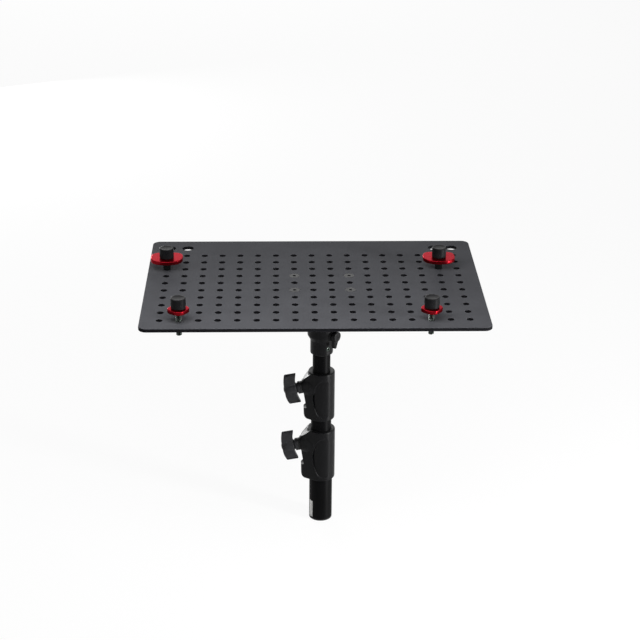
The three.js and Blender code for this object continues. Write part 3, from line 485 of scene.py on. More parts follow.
def collar_plan(radius, reach):
    """The collar seen from above: a round barrel drawn out to a round nose at -X."""
    centre = reach - COLLAR_NOSE
    tangent = math.degrees(math.acos((COLLAR_NOSE - radius) / centre))
    barrel = arc((0, 0), radius, -tangent, tangent, 4 * ARC_STEPS)
    nose = arc((-centre, 0), COLLAR_NOSE, tangent, 360 - tangent, 2 * ARC_STEPS)
    return barrel + nose


def collar_side(radius, reach, height, tube):
    """The clamp block seen from the front, in (x, z): sloped above and rounded below."""
    shoulder = -tube - COLLAR_SHOULDER_MARGIN
    foot = COLLAR_SLANT - reach
    corner = foot + COLLAR_FOOT_CURVE
    side = [(radius, 0), (radius, height), (shoulder, height), (-reach, height - COLLAR_SLOPE_DROP),
            (foot, COLLAR_FOOT_CURVE)]
    return side + curve(side[-1], (foot, 0), (corner, 0))


def upright_slab(points, depth):
    """A body with an outline in the XZ plane, and a depth along Y about it."""
    turn = Matrix.Rotation(math.pi / 2, 4, "X") @ Matrix.Translation((0, 0, -depth / 2))
    return slab("upright", [(points, [(0, 0), (0, depth)])], turn)


def hollow_cutter(side, radius, height):
    """Takes the collar's flank down to an inner barrel within an oval, on one side."""
    middle, half = (share * height for share in HOLLOW_HEIGHT_SHARES)
    round_points = circle((0, 0), 1, SMALL_SIDES)
    oval = [(HOLLOW_MIDDLE + HOLLOW_HALF_WIDTH * x, middle + half * z) for x, z in round_points]
    cutter = upright_slab(oval, 4 * radius)
    cutter.data.transform(Matrix.Translation((0, 2 * side * radius, 0)))
    shift = Matrix.Translation((HOLLOW_SHIFT, 0, 0))
    inner = rod("inner", radius - HOLLOW_DEPTH, -MM, height + MM, shift, FINE_SIDES)
    return combine(cutter, "DIFFERENCE", inner)


def build_collar(prefix):
    """A cast collar: barrel, clamp block, flared boss for the screw, and an oval hollow on both sides."""
    node = f"{prefix}_collar"
    low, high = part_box(node)
    radius, height = high.y, high.z - low.z
    reach = COLLAR_SCREW_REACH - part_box(f"{prefix}_collar_set_screw")[0].x
    below, through = TUBES_IN_COLLAR[prefix]
    tube_below, tube_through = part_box(below)[1].y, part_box(through)[1].y
    lock = joints[f"{prefix}_lock_turn"]
    to_local = Matrix.Translation((0, 0, -low.z))
    lock_frame = to_local @ frame_matrix(lock["pos_m"], lock["axis"], (0, 1, 0))
    edge = rim_rings(0, height, COLLAR_EDGE)
    body = slab(f"{prefix}_collar_cast", [(collar_plan(radius, reach), edge)])
    combine(body, "INTERSECT", upright_slab(collar_side(radius, reach, height, tube_through), 4 * radius))
    barrel = softened([(0, 0), (radius, 0), (radius, height), (0, height)], COLLAR_EDGE, is_open=True)
    boss = softened([(0, -reach), (BOSS_ROOT_RADIUS, -reach), (BOSS_ROOT_RADIUS, -BOSS_CONE),
                     (BOSS_FACE_RADIUS, 0), (0, 0)], TURNED_EDGE, is_open=True)
    combine(body, "UNION", lathe("barrel", barrel))
    combine(body, "DIFFERENCE", *(hollow_cutter(side, radius, height) for side in (-1, 1)))
    combine(body, "UNION", lathe("boss", boss, FINE_SIDES, lock_frame))
    cast(body, *COLLAR_CASTING)
    wide, narrow, past = tube_below + COLLAR_GAP, tube_through + COLLAR_GAP, height + MM
    bores = lathe("bores", [(0, -MM), (wide, -MM), (wide, COLLAR_SEAT_DEPTH), (narrow, COLLAR_SEAT_DEPTH),
                            (narrow, past), (0, past)])
    face = rod("face", 2 * BOSS_ROOT_RADIUS, 0, reach, lock_frame)
    bolt_hole = rod("bolt_hole", SCREW_HOLE_RADIUS, -reach, MM, lock_frame)
    screw_height = middle_height(f"{prefix}_collar_set_screw") - low.z
    screw_frame = frame_matrix((0, 0, screw_height), (-1, 0, 0), (0, 1, 0))
    screw_hole = rod("screw_hole", SET_SCREW_HOLE_RADIUS, tube_below, reach + MM, screw_frame)
    combine(body, "DIFFERENCE", bores, face, bolt_hole, screw_hole)
    body.data.transform(Matrix.Translation((0, 0, low.z)))
    finish_piece(body, node)


# Wing knobs

WASHER_TOP = 3 * MM
WASHER_RADIUS = 9 * MM
WASHER_EDGE = 0.5 * MM
WING_HUB_RADIUS = 9 * MM
WING_HUB_LENGTH = 23 * MM
WING_NECK_RADIUS = 8.4 * MM
WING_GROOVE_RADIUS = 7 * MM
WING_GROOVE_DROPS = (2.6 * MM, 2 * MM, 0.6 * MM)  # below the neck: its rim, its floor and the floor's end
WING_EDGE = 0.9 * MM
WING_BORE_DEPTH = 15 * MM
WING_START = 6 * MM
WING_WIDTH = 16.6 * MM
WING_REACH = 23.2 * MM
WING_ROOT = 12 * MM
WING_TIP = 7.5 * MM
WING_SWEEP = 4 * MM
WING_TURN_DEG = 8
WING_GAP = 0.3 * MM
WING_BEND = 3.2 * MM
WING_BEND_POWER = 1.6
HUB_DOME = 1 * MM
HUB_ROUND = 9 * MM


def wing_outline():
    """Two blades that sweep opposite ways, counter-clockwise."""
    half, tip = WING_ROOT / 2, WING_TIP / 2
    end = WING_REACH - tip
    points = arc((WING_SWEEP, end), tip, 0, 180)
    points += curve((WING_SWEEP - tip, end), (-half, WING_REACH / 2), (-half, 0))
    points += curve((-half, 0), (-half, -WING_REACH / 2), (-WING_SWEEP - tip, -end))
    points += arc((-WING_SWEEP, -end), tip, 180, 360)[1:]
    points += curve((tip - WING_SWEEP, -end), (half, -WING_REACH / 2), (half, 0))
    points += curve((half, 0), (half, WING_REACH / 2), (WING_SWEEP + tip, end))[:-1]
    return points


def build_wing_knob(prefix):
    """A moulded wing knob: a domed hub with two swept blades."""
    node = f"{prefix}_wing_knob"
    lock = joints[f"{prefix}_lock_turn"]
    lock_frame = frame_matrix(lock["pos_m"], lock["axis"], (0, 1, 0))
    start = WASHER_TOP + WING_GAP
    end = start + WING_HUB_LENGTH
    neck = start + WING_START
    rim, floor, floor_end = (neck - drop for drop in WING_GROOVE_DROPS)
    hub = [(0, start), (WING_HUB_RADIUS, start), (WING_HUB_RADIUS, rim), (WING_GROOVE_RADIUS, floor),
           (WING_GROOVE_RADIUS, floor_end), (WING_NECK_RADIUS, neck), (WING_NECK_RADIUS, end - HUB_ROUND)]
    hub += curve(hub[-1], (WING_NECK_RADIUS, end + HUB_DOME), (0, end + HUB_DOME))
    turn = Matrix.Rotation(math.pi / 2 + math.radians(WING_TURN_DEG), 4, "Z")
    blades = [(wing_outline(), rim_rings(neck, neck + WING_WIDTH, WING_EDGE))]
    knob = slab(f"{prefix}_wing_knob_moulded", blades, turn)
    combine(knob, "UNION", lathe("hub", hub))
    cast(knob, *KNOB_CASTING)
    for point in knob.data.vertices:
        from_neck = math.hypot(point.co.x, point.co.y) - WING_NECK_RADIUS
        outwards = max(0, from_neck / (WING_REACH - WING_NECK_RADIUS))
        point.co.z -= WING_BEND * outwards ** WING_BEND_POWER
    knob.data.transform(lock_frame)
    bore = rod("bore", SCREW_HOLE_RADIUS, start - MM, start + WING_BORE_DEPTH, lock_frame)
    combine(shade(knob), "DIFFERENCE", bore)
    finish_piece(knob, node, MOULDED_PLASTIC)
    washer = softened([(SCREW_HOLE_RADIUS, WING_GAP), (WASHER_RADIUS, WING_GAP), (WASHER_RADIUS, WASHER_TOP),
                       (SCREW_HOLE_RADIUS, WASHER_TOP)], WASHER_EDGE)
    turned = lathe(f"{prefix}_lock_washer_turned", washer, SMALL_SIDES, lock_frame)
    finish_piece(turned, f"{prefix}_lock_washer")


# Plate

PLATE_CORNER = 11 * MM
PLATE_EDGE = 0.7 * MM
HOLE_EDGE = 0.35 * MM
PITCH = 25.4 * MM
GRID_HOLE_RADIUS = 4.35 * MM
CABLE_HOLE_RADIUS = 8 * MM
GRID_LEFT_MARGIN = 26.2 * MM
GRID_FRONT_MARGIN = 27.7 * MM
CABLE_ROW_MARGIN = 27.8 * MM
GRID_COLUMNS = 17
GRID_ROWS = 10
CABLE_HOLE_COLUMNS = (0, 1, 15, 16)
SINK_RADIUS = 7.9 * MM
SINK_DEPTH = 3.6 * MM
SINK_HOLE_RADIUS = 4.3 * MM


def hole(centre, radius, rings, sides=HOLE_SIDES):
    """A round hole for a slab, with its own rings."""
    return (circle(centre, radius, sides)[::-1], rings)


def build_plate():
    """The perforated plate, with eased edges, round holes and countersinks for the adapter's screws."""
    low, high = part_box("table_plate")
    corner = PLATE_CORNER
    outline = arc((high.x - corner, low.y + corner), corner, -90, 0)
    outline += arc((high.x - corner, high.y - corner), corner, 0, 90)
    outline += arc((low.x + corner, high.y - corner), corner, 90, 180)
    outline += arc((low.x + corner, low.y + corner), corner, 180, 270)
    thick = high.z - low.z
    outlines = [(outline, rim_rings(0, thick, PLATE_EDGE))]
    edge = rim_rings(0, thick, HOLE_EDGE, 2)
    narrow = SINK_HOLE_RADIUS - SINK_RADIUS
    sink = [(narrow, 0), (narrow, thick - SINK_DEPTH), (0, thick)]
    middles = [middle_of(node) for node in plate_screws]
    for column in range(GRID_COLUMNS):
        for row in range(GRID_ROWS):
            place = (low.x + GRID_LEFT_MARGIN + column * PITCH, low.y + GRID_FRONT_MARGIN + row * PITCH)
            if any((Vector(place) - middle.xy).length < PITCH / 2 for middle in middles):
                outlines.append(hole(place, SINK_RADIUS, sink, SMALL_SIDES))
            else:
                outlines.append(hole(place, GRID_HOLE_RADIUS, edge))
    for column in CABLE_HOLE_COLUMNS:
        place = (low.x + GRID_LEFT_MARGIN + column * PITCH, high.y - CABLE_ROW_MARGIN)
        outlines.append(hole(place, CABLE_HOLE_RADIUS, edge, SMALL_SIDES))
    plate = slab("table_plate_sheet", outlines, Matrix.Translation((0, 0, low.z)))
    finish_piece(flatten(plate), "table_plate")


# Cam clamps

CLAMPS = ("front_left", "front_right", "back_left", "back_right")
STUD_RADIUS = 4 * MM
THREAD_PITCH = 1.25 * MM
THREAD_DEPTH = 0.65 * MM
THREAD_STEPS = 4
THREAD_END_SHARE = 1.3  # of the thread's depth, by which the pointed ends are turned down
POST_HOLE_RADIUS = 4.15 * MM
WASHER_HOLE_RADIUS = 4.3 * MM
HEXAGON_EDGE = 0.35 * MM
HEXAGON_BORE_EDGE = 0.4 * MM
HEXAGON_CORNER_SHARE = 0.2  # of the chamfer, by which its cone passes the corners
SPACER_CHAMFER = 0.7 * MM
NUT_CHAMFER = 0.9 * MM
CAM_EDGE = 0.9 * MM
CAM_HOLE_RADIUS = 4.3 * MM
CAM_HOLE_EDGE = 0.3 * MM
CAM_SIDES = 96
BACK_SQUARENESS_SHARES = (2.3, 3.4)
FRONT_SQUARENESS_SHARES = (2.9, 2.9)
FRONT_CAM_HALF_SIZE = 12.8 * MM
FRONT_CAM_TURN_DEG = 52
KNOB_EDGE = 1.2 * MM
KNOB_DISH_RADIUS = 7.6 * MM
KNOB_DISH_DEPTH = 0.4 * MM
KNOB_DISH_SLOPE = 1 * MM
KNOB_ROOF = 2 * MM
KNOB_FOOT_EDGE = 0.5 * MM
KNOB_RECESS_GAP = 0.5 * MM
KNOB_RECESS_ROOF_GAP = 0.3 * MM
KNOB_BORE_RADIUS = 4.3 * MM
KNOB_RIM_STEPS = 4


def superellipse(half_width, half_depth, squareness, turn_deg):
    """A rounded cam's outline, squarer on one side than on the other."""
    turn = Matrix.Rotation(math.radians(turn_deg), 2)
    points = []
    for side in range(CAM_SIDES):
        angle = side * TURN / CAM_SIDES
        c, s = math.cos(angle), math.sin(angle)
        power = 2 / squareness[0 if s < 0 else 1]
        x = math.copysign(half_width * abs(c) ** power, c)
        y = math.copysign(half_depth * abs(s) ** power, s)
        points.append(turn @ Vector((x, y)))
    return points


def build_cam(prefix, centre):
    """An anodised cam plate with turned edges."""
    node = f"{prefix}_cam"
    low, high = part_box(node)
    middle = middle_of(node)
    if prefix.startswith("back"):
        outline = superellipse((high.x - low.x) / 2, (high.y - low.y) / 2, BACK_SQUARENESS_SHARES, 0)
    else:
        half = FRONT_CAM_HALF_SIZE
        outline = superellipse(half, half, FRONT_SQUARENESS_SHARES, FRONT_CAM_TURN_DEG)
    shifted = [(x + middle.x, y + middle.y) for x, y in outline]
    rings = rim_rings(low.z, high.z, CAM_EDGE)
    stud_hole = hole(centre, CAM_HOLE_RADIUS, rim_rings(low.z, high.z, CAM_HOLE_EDGE, 1), SMALL_SIDES)
    finish_piece(flatten(slab(f"{prefix}_cam_plate", [(shifted, rings), stud_hole])), node)


def build_stud(prefix, centre):
    """A threaded stud with pointed ends, its thread wound as one helix."""
    node = f"{prefix}_stud"
    low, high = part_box(node)
    steps = round((high.z - low.z) / THREAD_PITCH * THREAD_STEPS)
    sides = SMALL_SIDES // 2
    made = bmesh.new()
    rings = []
    for step in range(steps + 1):
        height = low.z + (high.z - low.z) * step / steps
        to_end = min(height - low.z, high.z - height)
        ring = []
        for side, (x, y) in enumerate(circle((0, 0), 1, sides)):
            phase = (height / THREAD_PITCH - side / sides) % 1
            flank = abs(2 * phase - 1)
            radius = STUD_RADIUS - THREAD_DEPTH * flank
            radius = min(radius, STUD_RADIUS - THREAD_DEPTH * THREAD_END_SHARE + to_end)
            ring.append(made.verts.new((centre[0] + x * radius, centre[1] + y * radius, height)))
        rings.append(ring)
    for low_ring, high_ring in zip(rings, rings[1:]):
        for side in range(sides):
            after = (side + 1) % sides
            made.faces.new([low_ring[side], low_ring[after], high_ring[after], high_ring[side]])
    made.faces.new(rings[0])
    made.faces.new(rings[-1])
    finish_piece(to_piece(f"{prefix}_stud_threaded", made, Matrix.Identity(4)), node)


def build_hexagon(node, centre, chamfer):
    """A hexagonal post or nut whose corners are turned off at both ends."""
    low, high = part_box(node)
    radius = (high.x - low.x) / 2
    corners = softened([(centre[0] + x, centre[1] + y) for x, y in circle((0, 0), radius, 6)], HEXAGON_EDGE)
    bore = hole(centre, POST_HOLE_RADIUS, rim_rings(low.z, high.z, HEXAGON_BORE_EDGE, 1), SMALL_SIDES)
    post = slab(f"{node}_hexagon", [(corners, [(0, low.z), (0, high.z)]), bore])
    flats = radius * math.cos(math.pi / 6)
    past = radius + HEXAGON_CORNER_SHARE * chamfer
    turned = [(0, low.z), (flats, low.z), (past, low.z + chamfer), (past, high.z - chamfer), (flats, high.z),
              (0, high.z)]
    combine(post, "INTERSECT", lathe("turned_corners", turned, FINE_SIDES, Matrix.Translation((*centre, 0))))
    finish_piece(flatten(post), node)


def build_cap_knob(prefix, centre):
    """A round cap knob with a rounded rim and a slightly dished top."""
    node = f"{prefix}_knob"
    low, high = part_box(node)
    radius = (high.x - low.x) / 2
    washer_low, washer_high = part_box(f"{prefix}_upper_washer")
    recess = (washer_high.x - washer_low.x) / 2 + KNOB_RECESS_GAP
    roof = washer_high.z + KNOB_RECESS_ROOF_GAP
    bore, bore_end = KNOB_BORE_RADIUS, high.z - KNOB_ROOF
    dish = high.z - KNOB_DISH_DEPTH
    profile = [(0, dish), (KNOB_DISH_RADIUS - KNOB_DISH_SLOPE, dish), (KNOB_DISH_RADIUS, high.z),
               (radius - KNOB_EDGE, high.z)]
    profile += curve(profile[-1], (radius, high.z), (radius, high.z - KNOB_EDGE), KNOB_RIM_STEPS)
    profile += [(radius, low.z + KNOB_FOOT_EDGE), (radius - KNOB_FOOT_EDGE, low.z), (recess, low.z),
                (recess, roof), (bore, roof), (bore, bore_end), (0, bore_end)]
    knob = lathe(f"{prefix}_knob_moulded", profile, FINE_SIDES, Matrix.Translation((*centre, 0)))
    finish_piece(flatten(knob), node)


def build_clamp(prefix):
    """One cam clamp: stud, spacer, washers, nut, cam and cap knob."""
    centre = tuple(joints[f"{prefix}_cam_turn"]["pos_m"][:2])
    build_cam(prefix, centre)
    build_stud(prefix, centre)
    build_hexagon(f"{prefix}_spacer", centre, SPACER_CHAMFER)
    build_hexagon(f"{prefix}_nut", centre, NUT_CHAMFER)
    build_turned_ring(f"{prefix}_lower_washer", WASHER_HOLE_RADIUS)
    build_turned_ring(f"{prefix}_upper_washer", WASHER_HOLE_RADIUS)
    build_cap_knob(prefix, centre)


# Screws

SCREW_EDGE = 0.3 * MM
SET_SCREW_RADIUS = 3 * MM
SET_SCREW_KEY = 1.6 * MM
SET_SCREW_KEY_DEPTH = 2 * MM
STOP_SCREW_AZIMUTH_DEG = -55
STOP_SCREW_GAP = 0.05 * MM
STOP_SCREW_RECESS = 0.3 * MM
PLATE_SCREW_RADIUS = 4 * MM
PLATE_SCREW_END_EDGE = 0.4 * MM
PLATE_SCREW_HEAD_HEIGHT = 3.6 * MM
PLATE_SCREW_KEY = 2.6 * MM
PLATE_SCREW_KEY_DEPTH = 2.2 * MM
SOCKET_RADIUS = 16 * MM
SPIGOT_BORE_RADIUS = 8.2 * MM


def cut_key(screw, key, depth, end, matrix):
    """Cuts a hexagonal socket into a screw's far end."""
    socket = slab("socket", [(circle((0, 0), key, 6), [(0, end - depth), (0, end + MM)])], matrix)
    return combine(screw, "DIFFERENCE", socket)


def build_socket_screw(name, node, radius, span, key, depth, matrix, finish=None):
    """A round screw along +Z with a hexagonal socket in its far end."""
    start, end = span
    profile = softened([(0, start), (radius, start), (radius, end), (0, end)], SCREW_EDGE, is_open=True)
    screw = lathe(name, profile, SMALL_SIDES, matrix)
    finish_piece(cut_key(screw, key, depth, end, matrix), node, finish)


def stop_screw_frame(base):
    """The stop screw's frame, pointing out of the socket, with its height counted from a base."""
    angle = math.radians(STOP_SCREW_AZIMUTH_DEG)
    out = Vector((math.cos(angle), math.sin(angle), 0))
    return frame_matrix((0, 0, middle_height("socket_set_screw") - base), out, (0, 0, 1))


def build_set_screws():
    """The two collars' set screws and the stop screw in the socket's skirt."""
    key = (SET_SCREW_KEY, SET_SCREW_KEY_DEPTH)
    for prefix in ("lower", "upper"):
        node = f"{prefix}_collar_set_screw"
        low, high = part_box(node)
        place = frame_matrix((0, 0, middle_height(node)), (-1, 0, 0), (0, 1, 0))
        build_socket_screw(f"{node}_turned", node, SET_SCREW_RADIUS, (-high.x, -low.x), *key, place)
    span = (SPIGOT_BORE_RADIUS + STOP_SCREW_GAP, SOCKET_RADIUS - STOP_SCREW_RECESS)
    place = stop_screw_frame(0)
    build_socket_screw("stop_screw_turned", "socket_set_screw", SET_SCREW_RADIUS, span, *key, place)


def build_plate_screws():
    """Blackened countersunk screws from the plate into the adapter."""
    shank, end_edge = PLATE_SCREW_RADIUS, PLATE_SCREW_END_EDGE
    for node in plate_screws:
        low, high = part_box(node)
        middle = middle_of(node)
        head = (high.x - low.x) / 2
        profile = [(0, low.z), (shank - end_edge, low.z), (shank, low.z + end_edge),
                   (shank, high.z - PLATE_SCREW_HEAD_HEIGHT), (head, high.z - SCREW_EDGE),
                   (head - SCREW_EDGE, high.z), (0, high.z)]
        place = Matrix.Translation((middle.x, middle.y, 0))
        screw = lathe(f"{node}_turned", profile, SMALL_SIDES, place)
        cut_key(screw, PLATE_SCREW_KEY, PLATE_SCREW_KEY_DEPTH, high.z, place)
        finish_piece(flatten(screw), node, DARK_STEEL)


# Adapter

NECK_RADIUS = 20 * MM
SOCKET_LENGTH = 20.5 * MM
FLARE_HEIGHT = 7 * MM
NECK_TOP = 48 * MM
BELL_RADIUS = 31 * MM
BELL_WIDENING = 2 * MM  # of the neck, where the bell's curve is at its sharpest
BELL_DROP = 12 * MM
BELL_STEPS = 8
FLANGE_THICKNESS = 8 * MM
FLANGE_CORNER = 10 * MM
FLANGE_EDGE = 1 * MM
FLANGE_LAP = 2 * MM
RIB_THICKNESS = 6 * MM
RIB_INSET = 3 * MM
FOOT_TRIM = 0.2 * MM
SPIGOT_BORE_DEPTH = 44 * MM
LEVER_BOSS_RADIUS = 8 * MM
LEVER_BOSS_START = 12 * MM
LEVER_BOSS_REACH = 21.5 * MM
LEVER_BOSS_FACE_SHARE = 1.4  # of the boss's radius, how far round it its face is cut
LEVER_SCREW_HOLE_RADIUS = 3.3 * MM
PAD_POCKET_RADIUS = 4.3 * MM
PAD_POCKET_END = 13.5 * MM
PLATE_SCREW_HOLE_RADIUS = 4.3 * MM
PLATE_SCREW_HOLE_DEPTH = 20 * MM


def lever_frame(base):
    """The lever's frame, along its screw, with its height counted from a base."""
    lever = joints["lever_turn"]
    return frame_matrix((0, 0, lever["pos_m"][2] - base), lever["axis"], (0, 0, 1))


def adapter_flange(low_z, high_z, half_width, half_depth):
    """The adapter's rounded flange."""
    corner = FLANGE_CORNER
    outline = []
    for x, y, start in ((1, -1, -90), (1, 1, 0), (-1, 1, 90), (-1, -1, 180)):
        centre = (x * (half_width - corner), y * (half_depth - corner))
        outline += arc(centre, corner, start, start + 90)
    return slab("flange", [(outline, rim_rings(low_z, high_z, FLANGE_EDGE))])


def adapter_rib(reach, turn_deg, under):
    """One of the four ribs that carry the flange."""
    inner, outer, top = NECK_RADIUS / 2, reach - RIB_INSET, under + FLANGE_LAP
    side = [(inner, NECK_TOP), (NECK_RADIUS, NECK_TOP), (outer, under), (outer, top), (inner, top)]
    rib = upright_slab(side, RIB_THICKNESS)
    rib.data.transform(Matrix.Rotation(math.radians(turn_deg), 4, "Z"))
    return rib


def build_adapter():
    """The cast adapter: flange, four ribs, neck, socket and the lever's boss, with soft edges."""
    low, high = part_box("stand_adapter")
    height = high.z - low.z
    under = height - FLANGE_THICKNESS
    half_width, half_depth = high.x, high.y
    along_lever = lever_frame(low.z)
    neck = [(0, 0), (SOCKET_RADIUS, 0), (SOCKET_RADIUS, SOCKET_LENGTH),
            (NECK_RADIUS, SOCKET_LENGTH + FLARE_HEIGHT), (NECK_RADIUS, NECK_TOP)]
    bend = (NECK_RADIUS + BELL_WIDENING, under - BELL_DROP)
    neck += curve(neck[-1], bend, (BELL_RADIUS, under), BELL_STEPS)
    neck += [(BELL_RADIUS, under + FLANGE_LAP), (0, under + FLANGE_LAP)]
    body = lathe("stand_adapter_cast", neck)
    combine(body, "UNION", adapter_flange(under, height, half_width, half_depth))
    for reach, turn_deg in ((half_width, 0), (half_depth, 90), (half_width, 180), (half_depth, 270)):
        combine(body, "UNION", adapter_rib(reach, turn_deg, under))
    boss_end = LEVER_BOSS_REACH + MM
    boss = softened([(0, LEVER_BOSS_START), (LEVER_BOSS_RADIUS, LEVER_BOSS_START),
                     (LEVER_BOSS_RADIUS, boss_end), (0, boss_end)], TURNED_EDGE, is_open=True)
    combine(body, "UNION", lathe("boss", boss, SMALL_SIDES, along_lever))
    cast(body, *ADAPTER_CASTING)
    keep = slab("keep", [(circle((0, 0), 2 * half_width, 4), [(0, FOOT_TRIM), (0, height)])])
    combine(body, "INTERSECT", keep)
    face_radius = LEVER_BOSS_FACE_SHARE * LEVER_BOSS_RADIUS
    face = rod("face", face_radius, LEVER_BOSS_REACH, 2 * LEVER_BOSS_REACH, along_lever)
    bore = rod("bore", SPIGOT_BORE_RADIUS, -MM, SPIGOT_BORE_DEPTH, sides=FINE_SIDES)
    pad_hole = rod("pad_hole", PAD_POCKET_RADIUS, 0, PAD_POCKET_END, along_lever)
    screw_hole = rod("screw_hole", LEVER_SCREW_HOLE_RADIUS, 0, 2 * NECK_RADIUS, along_lever)
    stop_hole = rod("stop_hole", SET_SCREW_HOLE_RADIUS, 0, NECK_RADIUS, stop_screw_frame(low.z))
    plate_holes = []
    for node in plate_screws:
        middle = middle_of(node)
        place = Matrix.Translation((middle.x, middle.y, 0))
        start = under - PLATE_SCREW_HOLE_DEPTH
        plate_holes.append(rod("hole", PLATE_SCREW_HOLE_RADIUS, start, height + MM, place))
    combine(body, "DIFFERENCE", face, bore, pad_hole, screw_hole, stop_hole, *plate_holes)
    body.data.transform(Matrix.Translation((0, 0, low.z)))
    finish_piece(body, "stand_adapter")


# Lever

LEVER_HUB_START = 21.8 * MM
LEVER_HUB_END = 28.4 * MM
LEVER_HUB_RADIUS = 7.3 * MM
LEVER_HUB_EDGE = 1 * MM
LEVER_ARM_THICKNESS = 5.4 * MM
LEVER_ARM_LENGTH = 17 * MM
LEVER_ARM_SIDE = -3 * MM
LEVER_ROOT_HALF_WIDTH = 6 * MM
LEVER_TIP_RADIUS = 2.6 * MM
LEVER_TRIMS = (0.05 * MM, 0.02 * MM)  # taken off both ends of the casting
LEVER_ROOM = 40 * MM
LEVER_CAP_RADIUS = 3.8 * MM
LEVER_CAP_THICKNESS = 1.2 * MM
LEVER_CAP_GAP = 0.1 * MM
LEVER_CAP_KEY = 1.7 * MM
LEVER_CAP_KEY_DEPTH = 0.6 * MM


def build_lever():
    """The small cast lock lever and its cap screw."""
    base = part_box("stand_adapter")[0].z
    place = Matrix.Translation((0, 0, base)) @ lever_frame(base)
    start, end = LEVER_HUB_START, LEVER_HUB_END
    tip = (LEVER_ARM_SIDE, LEVER_TIP_RADIUS - LEVER_ARM_LENGTH)
    half = LEVER_ROOT_HALF_WIDTH
    outline = [(-half, 0)] + arc(tip, LEVER_TIP_RADIUS, 180, 360) + [(half, 0)]
    arm = slab("lock_lever_cast", [(outline, [(0, start), (0, start + LEVER_ARM_THICKNESS)])])
    hub = softened([(0, start), (LEVER_HUB_RADIUS, start), (LEVER_HUB_RADIUS, end), (0, end)], LEVER_HUB_EDGE,
                   is_open=True)
    combine(arm, "UNION", lathe("hub", hub))
    cast(arm, *LEVER_CASTING)
    keep = rod("keep", LEVER_ROOM, start + LEVER_TRIMS[0], end - LEVER_TRIMS[1], sides=FINE_SIDES)
    combine(arm, "INTERSECT", keep)
    cap_start = end - LEVER_CAP_THICKNESS
    cap_hole = LEVER_CAP_RADIUS + LEVER_CAP_GAP
    bore = lathe("bore", [(0, 0), (LEVER_SCREW_HOLE_RADIUS, 0), (LEVER_SCREW_HOLE_RADIUS, cap_start),
                          (cap_hole, cap_start), (cap_hole, 2 * end), (0, 2 * end)], SMALL_SIDES)
    combine(arm, "DIFFERENCE", bore)
    arm.data.transform(place)
    finish_piece(arm, "lock_lever")
    build_socket_screw("lever_cap_turned", "lever_cap", LEVER_CAP_RADIUS, (cap_start, end), LEVER_CAP_KEY,
                       LEVER_CAP_KEY_DEPTH, place, DARK_STEEL)


# Strip on the base tube

STRIP_AZIMUTHS_DEG = (196, 224)
STRIP_HEIGHTS = (4 * MM, 30 * MM)
STRIP_THICKNESS = 0.06 * MM


def build_strip():
    """A bare pale strip stuck on the base tube's left side."""
    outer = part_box("base_tube")[1].y
    start, end = STRIP_AZIMUTHS_DEG
    inner = arc((0, 0), outer - STRIP_THICKNESS, end, start)
    points = arc((0, 0), outer + STRIP_THICKNESS, start, end) + inner
    low, high = STRIP_HEIGHTS
    dress(slab("base_tube_strip", [(points, [(0, low), (0, high)])]), "base_tube", PALE_STRIP)


# Stage, light and camera

CAMERA_PLACE = (-0.06235, -2.09598, 1.23877)
CAMERA_FORWARD = (0.02607, 0.91435, -0.4040)
CAMERA_UP = (0.00202, 0.40408, 0.91467)
CAMERA_ROLL_DEG = -0.13
CAMERA_LENS = 92.74  # the lens and the sensor are in millimetres, as Blender takes them
CAMERA_SENSOR = 36
CAMERA_SIGHT = 100  # how far it sees, in metres
FLOOR_HALF = 30.0  # half its width, in metres
FLOOR_GREY = 0.8
FLOOR_ROUGHNESS = 0.9
FLOOR_SEEN_SHARE = 0.92  # the rest of what the eye sees is the lit floor, with its shadow
WORLD_LIGHT = 0.22


def build_camera():
    """A camera at the photograph's viewing place."""
    data = bpy.data.cameras.new("camera")
    data.lens = CAMERA_LENS
    data.sensor_width = CAMERA_SENSOR
    data.clip_end = CAMERA_SIGHT
    camera = bpy.data.objects.new("camera", data)
    bpy.context.scene.collection.objects.link(camera)
    back = -Vector(CAMERA_FORWARD)
    roll = Matrix.Rotation(math.radians(CAMERA_ROLL_DEG), 4, back.normalized())
    turned = frame_matrix((0, 0, 0), back, CAMERA_UP)
    camera.matrix_world = Matrix.Translation(CAMERA_PLACE) @ roll @ turned
    bpy.context.scene.camera = camera


def seen_share(tree, share):
    """That share for rays from the camera, off gloss and through glass, and nothing for diffuse light."""
    path = tree.nodes.new("ShaderNodeLightPath")
    total = path.outputs["Is Camera Ray"]
    for name in ("Is Glossy Ray", "Is Transmission Ray"):
        node = tree.nodes.new("ShaderNodeMath")
        node.operation = "ADD"
        node.use_clamp = True
        link(tree, total, node.inputs[0])
        link(tree, path.outputs[name], node.inputs[1])
        total = node.outputs["Value"]
    return map_range(tree, total, 0, 1, 0, share)


def build_floor():
    """A pale floor that reads as white to the eye and in reflections, and keeps a soft shadow."""
    made = bmesh.new()
    half = FLOOR_HALF
    corners = ((-half, -half), (half, -half), (half, half), (-half, half))
    made.faces.new([made.verts.new((x, y, 0)) for x, y in corners])
    floor = to_piece("floor", made, Matrix.Identity(4))
    paper = bpy.data.materials.new("pale_floor")
    paper.use_nodes = True
    tree = paper.node_tree
    shader = tree.nodes["Principled BSDF"]
    shader.inputs["Base Color"].default_value = (FLOOR_GREY, FLOOR_GREY, FLOOR_GREY, 1)
    shader.inputs["Roughness"].default_value = FLOOR_ROUGHNESS
    glow = tree.nodes.new("ShaderNodeEmission")
    glow.inputs["Color"].default_value = (1, 1, 1, 1)
    share = seen_share(tree, FLOOR_SEEN_SHARE)
    blend = tree.nodes.new("ShaderNodeMixShader")
    link(tree, share, blend.inputs["Fac"])
    link(tree, shader.outputs["BSDF"], blend.inputs[1])
    link(tree, glow.outputs["Emission"], blend.inputs[2])
    link(tree, blend.outputs["Shader"], tree.nodes["Material Output"].inputs["Surface"])
    floor.data.materials.append(paper)


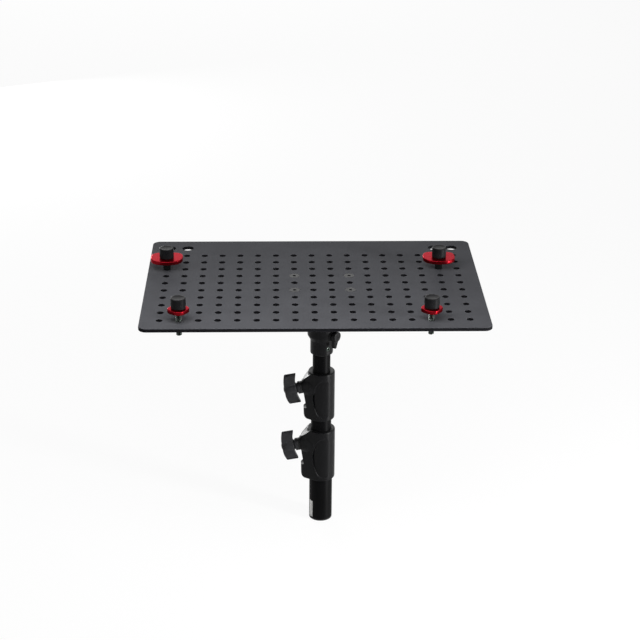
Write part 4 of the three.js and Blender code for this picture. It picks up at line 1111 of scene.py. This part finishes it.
def build_world():
    """White to the eye and in reflections, and a dim even light on surfaces."""
    world = bpy.data.worlds.new("studio")
    world.use_nodes = True
    tree = world.node_tree
    ground = tree.nodes["Background"]
    ground.inputs["Color"].default_value = (1, 1, 1, 1)
    strength = map_range(tree, seen_share(tree, 1.0), 0, 1, WORLD_LIGHT, 1)
    link(tree, strength, ground.inputs["Strength"])
    bpy.context.scene.world = world


LOW_MIDDLE = (0, 0, 0.25)
LIGHTS = (  # name, place, target, width and height in metres, and watts
    ("key", (1.05, -0.6, 0.36), LOW_MIDDLE, 0.16, 0.7, 26),
    ("side", (1.2, -0.2, 0.27), LOW_MIDDLE, 0.25, 0.52, 5),
    ("top", (-0.08, -0.33, 0.77), (0, -0.14, 0.37), 0.7, 0.2, 3.7),
    ("back", (-0.5, 3.6, 1.3), (0, 0, 0.37), 2.4, 2.6, 31),
    ("rim", (-0.98, 2.2, 0.33), (0, 0, 0.3), 0.7, 0.65, 22),
    ("fill", (-1.4, -0.9, 0.9), LOW_MIDDLE, 0.5, 0.9, 4),
)


def build_lights():
    """Soft studio light: two strips at the right, a low top light in front, back lights and a weak fill."""
    for name, place, target, width, height, power in LIGHTS:
        data = bpy.data.lights.new(name, "AREA")
        data.shape = "RECTANGLE"
        data.size, data.size_y = width, height
        data.energy = power
        light = bpy.data.objects.new(name, data)
        light.location = place
        light.rotation_mode = "QUATERNION"
        light.rotation_quaternion = (Vector(target) - Vector(place)).to_track_quat("-Z", "Y")
        light.visible_camera = False
        bpy.context.scene.collection.objects.link(light)


# Assembly

build_camera()
build_floor()
build_world()
build_lights()
finish_cad_nodes()
for tube_node in ("base_tube", "middle_tube", "top_tube"):
    build_tube(tube_node)
for side_name in ("lower", "upper"):
    build_collar(side_name)
    build_wing_knob(side_name)
build_turned_ring("thrust_washer", THRUST_WASHER_HOLE_RADIUS)
build_set_screws()
build_adapter()
build_lever()
build_plate_screws()
build_strip()
build_plate()
for clamp_name in CLAMPS:
    build_clamp(clamp_name)

bpy.context.scene.view_settings.view_transform = "Standard"
